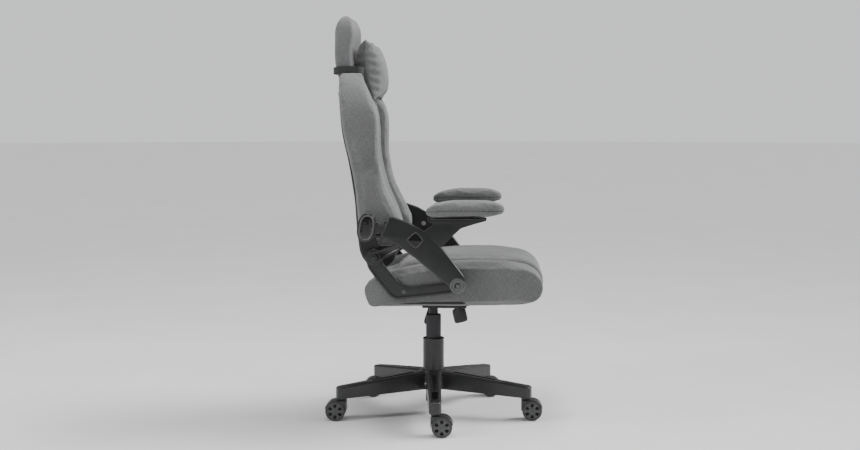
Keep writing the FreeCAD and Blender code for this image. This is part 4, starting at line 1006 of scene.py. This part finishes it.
def seat_pads():
    """The seat's centre and its two sides, swollen and kept clear of the board, the lever and the brackets."""
    middle = plate("seat_centre_pad", [smooth_line(SEAT_MIDDLE)], -149, 149, 6)

    def over_the_board(point):
        """Flat underneath, and a little higher over the height lever."""
        over_lever = max(0.0, min(1.0, 2 - abs(point.y) / 0.03))
        point.z = max(point.z, 0.379 + 0.009 * over_lever)

    stuff(middle, 4, 6.0, 8, over_the_board)
    for point in middle.data.vertices:
        across = min(1.0, abs(point.co.x) / 0.15)
        if point.co.z > SEAT_TOP:
            point.co.z += (1 - across ** 2) * 2 * MM - across ** 6 * 4 * MM - 2 * MM
    side = plate("seat_side_pad_left", [smooth_line(SEAT_SIDE)], 152, 262, 6)
    for point in side.data.vertices:
        if point.co.z > SEAT_TOP:
            point.co.z -= max(0.0, (point.co.x - 0.2) / 0.05) * 5 * MM

    def inside_the_bracket(point):
        point.x = min(point.x, 0.2547 + 0.004 * max(0.0, min(1.0, (-0.11 - point.y) / 0.09)))
        point.z = max(point.z, 0.3755)

    stuff(side, 7, 5.5, 9, inside_the_bracket)
    return [(middle, "seat_cushion", 0.8), (side, "seat_bolster_left", 0.8),
            (other_side(side, "seat_side_pad_right"), "seat_bolster_right", 0.8)]


def back_pads():
    """The back's centre, its two sides and the head section."""
    side = carve(plate("back_side_pad_left", [smooth_line(BACK_REAR + BACK_SIDE_FRONT)], 140, 270),
                 plate("back_side_cutter", [smooth_line(BACK_SIDE_VIEW)], -400, 0, plane="front"))

    def inside_the_arm(point):
        point.x = min(point.x, 0.245 if point.z < 0.66 else 0.262)

    stuff(side, 3.5, 5.5, 7, inside_the_arm)
    twin = other_side(side, "back_side_pad_right")
    middle = plate("back_centre_pad", [smooth_line(BACK_MIDDLE_REAR + BACK_MIDDLE_FRONT)], -149, 149, 6)
    stuff(middle, 5, 6.0, 8)
    head = carve(plate("head_pad", [smooth_line(HEAD_LINE)], -150, 150),
                 plate("head_cutter", [HEAD_VIEW], -400, 0, plane="front"))
    for point in head.data.vertices:
        outward = min(1.0, abs(point.co.x) / 0.15) ** 2.4
        point.co.y += outward * (7 if point.co.y < 0.262 else -2) * MM
    stuff(head, 2.5, 5.5, 12)
    return [(side, "back_bolster_left", 0.8), (twin, "back_bolster_right", 0.8),
            (middle, "back_cushion", 0.8),
            (head, "head_cushion", 0.85)]


def pillow_edge(across, up):
    """A place where the pillow's two panels meet, with pointed corners and a waist between them."""
    waist = 1 - 0.075 * (1 - across ** 2) * up ** 4
    return (124 - 8 * (1 - up ** 2)) * across, 203 + 15 * up - 18 * up ** 2, 1072 + 95 * up * waist


def pillow():
    """Two crowned panels sewn round their edge, with pointed corners."""
    panels = []
    for side, swell in ((-1, 55), (1, 31)):
        deselect()
        bpy.ops.mesh.primitive_grid_add(x_subdivisions=52, y_subdivisions=42, size=2)
        panel = settle(bpy.context.object)
        for point in panel.data.vertices:
            across, up = point.co.x, point.co.y
            crown = max(0.0, 1 - abs(across) ** 2.8) ** 0.62 * max(0.0, 1 - up ** 2) ** 0.78
            pucker = math.sin(23 * up + 2.5 * math.sin(6 * across)) * abs(across) ** 4
            pucker += 0.8 * math.sin(19 * across + 2 * math.sin(5 * up)) * abs(up) ** 5
            x, seam_y, z = pillow_edge(across, up)
            point.co = Vector((x, seam_y + side * (swell * crown + 3.6 * pucker * crown ** 0.35), z)) * MM
        panels.append(panel)
    piece = weld(join("neck_pillow", *panels), 0.2)
    return inflate(piece, 6, 2.5, 5, 0.25, 8)


def arm_pad():
    """An arm's soft pad: rounded at the front and thinner at the rear."""
    line = [(12, 650, 5), (14, 664, 9), (-10, 679, 40), (-60, 688, 80), (-180, 688, 60), (-217, 676, 12),
            (-216, 655, 10), (-176, 648, 12), (-4, 644, 12)]
    pad = carve(plate("arm_pad_left_top", [line], 234, 317), plate("arm_pad_cutter",
                                                                   [[(236, 13, 32), (315, 13, 32),
                                                                     (315, -220, 36), (236, -220, 36)]],
                                                                   600, 720, plane="level"))
    return stuff(pad, 3, 4.0, 9)


for body, pads in (("seat", seat_pads()), ("back", back_pads())):
    for pad, node_name, fill in pads:
        paint(round_off(pad), CLOTH)
        fit(pad, body, "seat_fabric", node_name)

neck = paint(round_off(pillow()), CLOTH)
turns = [math.tau * step / 72 for step in range(72)]
rim = [pillow_edge(*(max(-1.0, min(1.0, 1.25 * part)) for part in (math.cos(turn), math.sin(turn))))
       for turn in turns]
neck_seam = sew(neck, "pillow_seam", rim, True, 0.8, 4.0, 0.8)
fit(neck_seam, "pillow", "seat_fabric")
fit(neck, "pillow", "seat_fabric", "head_pillow")

left_pad = arm_pad()
right_pad = other_side(left_pad, "arm_pad_right_top")
for word, pad, side in (("left", left_pad, 1), ("right", right_pad, -1)):
    paint(round_off(pad), CLOTH)
    ring = [(235, 4, 660), (236, -60, 663), (236, -150, 663), (242, -208, 662), (275, -221, 662),
            (309, -208, 662), (316, -150, 663), (316, -60, 663), (314, 4, 660), (275, 15, 659)]
    welt = sew(pad, f"arm_pad_seam_{word}", [(side * x, y, z) for x, y, z in ring], True, 1.4, 5.0, 0.8)
    fit(welt, f"arm_{word}_body", "seat_fabric")
    fit(pad, f"arm_{word}_body", "seat_fabric", f"arm_pad_{word}")


def back_shell():
    """The moulded shell behind the back, drawn forward until it closes on the bolsters."""
    shell = plate("back_shell", [smooth_line(SHELL_LINE)], -SHELL_HALF, SHELL_HALF, 5, fineness=6,
                  bevel_steps=4)
    for point in shell.data.vertices:
        inner = 0.192 + 0.165 * max(0.0, point.co.z - 0.56)
        if point.co.y > inner:
            side = abs(point.co.x) / (SHELL_HALF * MM)
            point.co.y -= min(side ** 3 * 24 * MM, point.co.y - inner)
    return soften_shading(shell)


fit(paint(back_shell(), PANEL), "back", "panel_black", "back_panel")


def strap():
    """The elastic band from one end of the pillow round the head cushion to the other."""
    half = [(119, 205), (127, 207), (138, 212), (146, 221), (147.6, 236), (147.6, 268), (142, 286),
            (125, 293.6), (60, 294.4)]
    points = []
    for x, y in half + [(-x, y) for x, y in half[::-1]]:
        arch = 4 * math.sin(math.pi * max(0.0, min(1.0, (y - 206) / 87)))
        points.append((x, y, 1068 + arch))
    smooth_curve(points, False, 8).data.extrude = 10 * MM
    band = weld(convert())
    work(band, "SOLIDIFY", thickness=2 * MM, offset=0)
    return weld(soften_shading(join("neck_strap", ease_edges(band, 0.5, 2, 50))))


fit(paint(strap(), STRAP), "back", "strap_elastic", "pillow_strap")


# --- studio

def soft_light(name, place, target, size, power):
    bpy.ops.object.light_add(type="AREA", location=place)
    lamp = bpy.context.object
    lamp.name = name
    lamp.data.shape = "RECTANGLE"
    lamp.data.size, lamp.data.size_y = size
    lamp.data.energy = power
    lamp.rotation_euler = (Vector(target) - Vector(place)).to_track_quat("-Z", "Y").to_euler()


deselect()
bpy.ops.mesh.primitive_circle_add(vertices=64, radius=30, fill_type="NGON", location=(0, 0, 0))
floor = bpy.context.object
floor.name = "studio_floor"
paper = bpy.data.materials.new("pale_paper")
paper.use_nodes = True
paper_tree = paper.node_tree
speckle = noise_at(paper_tree, whole_piece(paper_tree), 3.0, 4.0)
paper_tone = blend_colours(paper_tree, spread(paper_tree, speckle), grey(0.80), grey(0.84))
paper_tree.links.new(paper_tone, paper_tree.nodes["Principled BSDF"].inputs["Base Color"])
paper_tree.nodes["Principled BSDF"].inputs["Roughness"].default_value = 0.9
paint(floor, paper)

world = bpy.data.worlds.new("studio")
world.use_nodes = True
seen = put(world.node_tree, "LightPath").outputs["Is Camera Ray"]
brightness = put(world.node_tree, "MapRange", {"Value": seen, "To Min": 0.27, "To Max": 1.0}).outputs[0]
world.node_tree.nodes["Background"].inputs["Color"].default_value = (0.86, 0.87, 0.88, 1)
world.node_tree.links.new(brightness, world.node_tree.nodes["Background"].inputs["Strength"])
scene.world = world

bpy.ops.object.light_add(type="SUN", location=(0, -3, 4))
window_light = bpy.context.object
window_light.name = "window"
window_light.data.energy = 3.4
window_light.data.angle = math.radians(35)
window_light.rotation_euler = Vector((-0.22, 0.74, -0.66)).to_track_quat("-Z", "Y").to_euler()
soft_light("key", (-1.0, -2.8, 2.6), (0, 0, 0.7), (0.8, 1.6), 30)
soft_light("rim", (-1.2, 2.6, 2.0), (0, 0, 0.6), (0.5, 2.0), 45)
soft_light("top", (-0.5, 0.1, 3.2), (0, 0, 0.5), (0.5, 2.4), 45)

bpy.ops.object.camera_add(location=(-4.034, -0.154, 0.969))
camera = bpy.context.object
camera.name = "main_camera"
camera.rotation_euler = Vector((0.9949, 0.0407, -0.0925)).to_track_quat("-Z", "Y").to_euler()
camera.data.sensor_width = 36
camera.data.lens = 54.5
scene.camera = camera
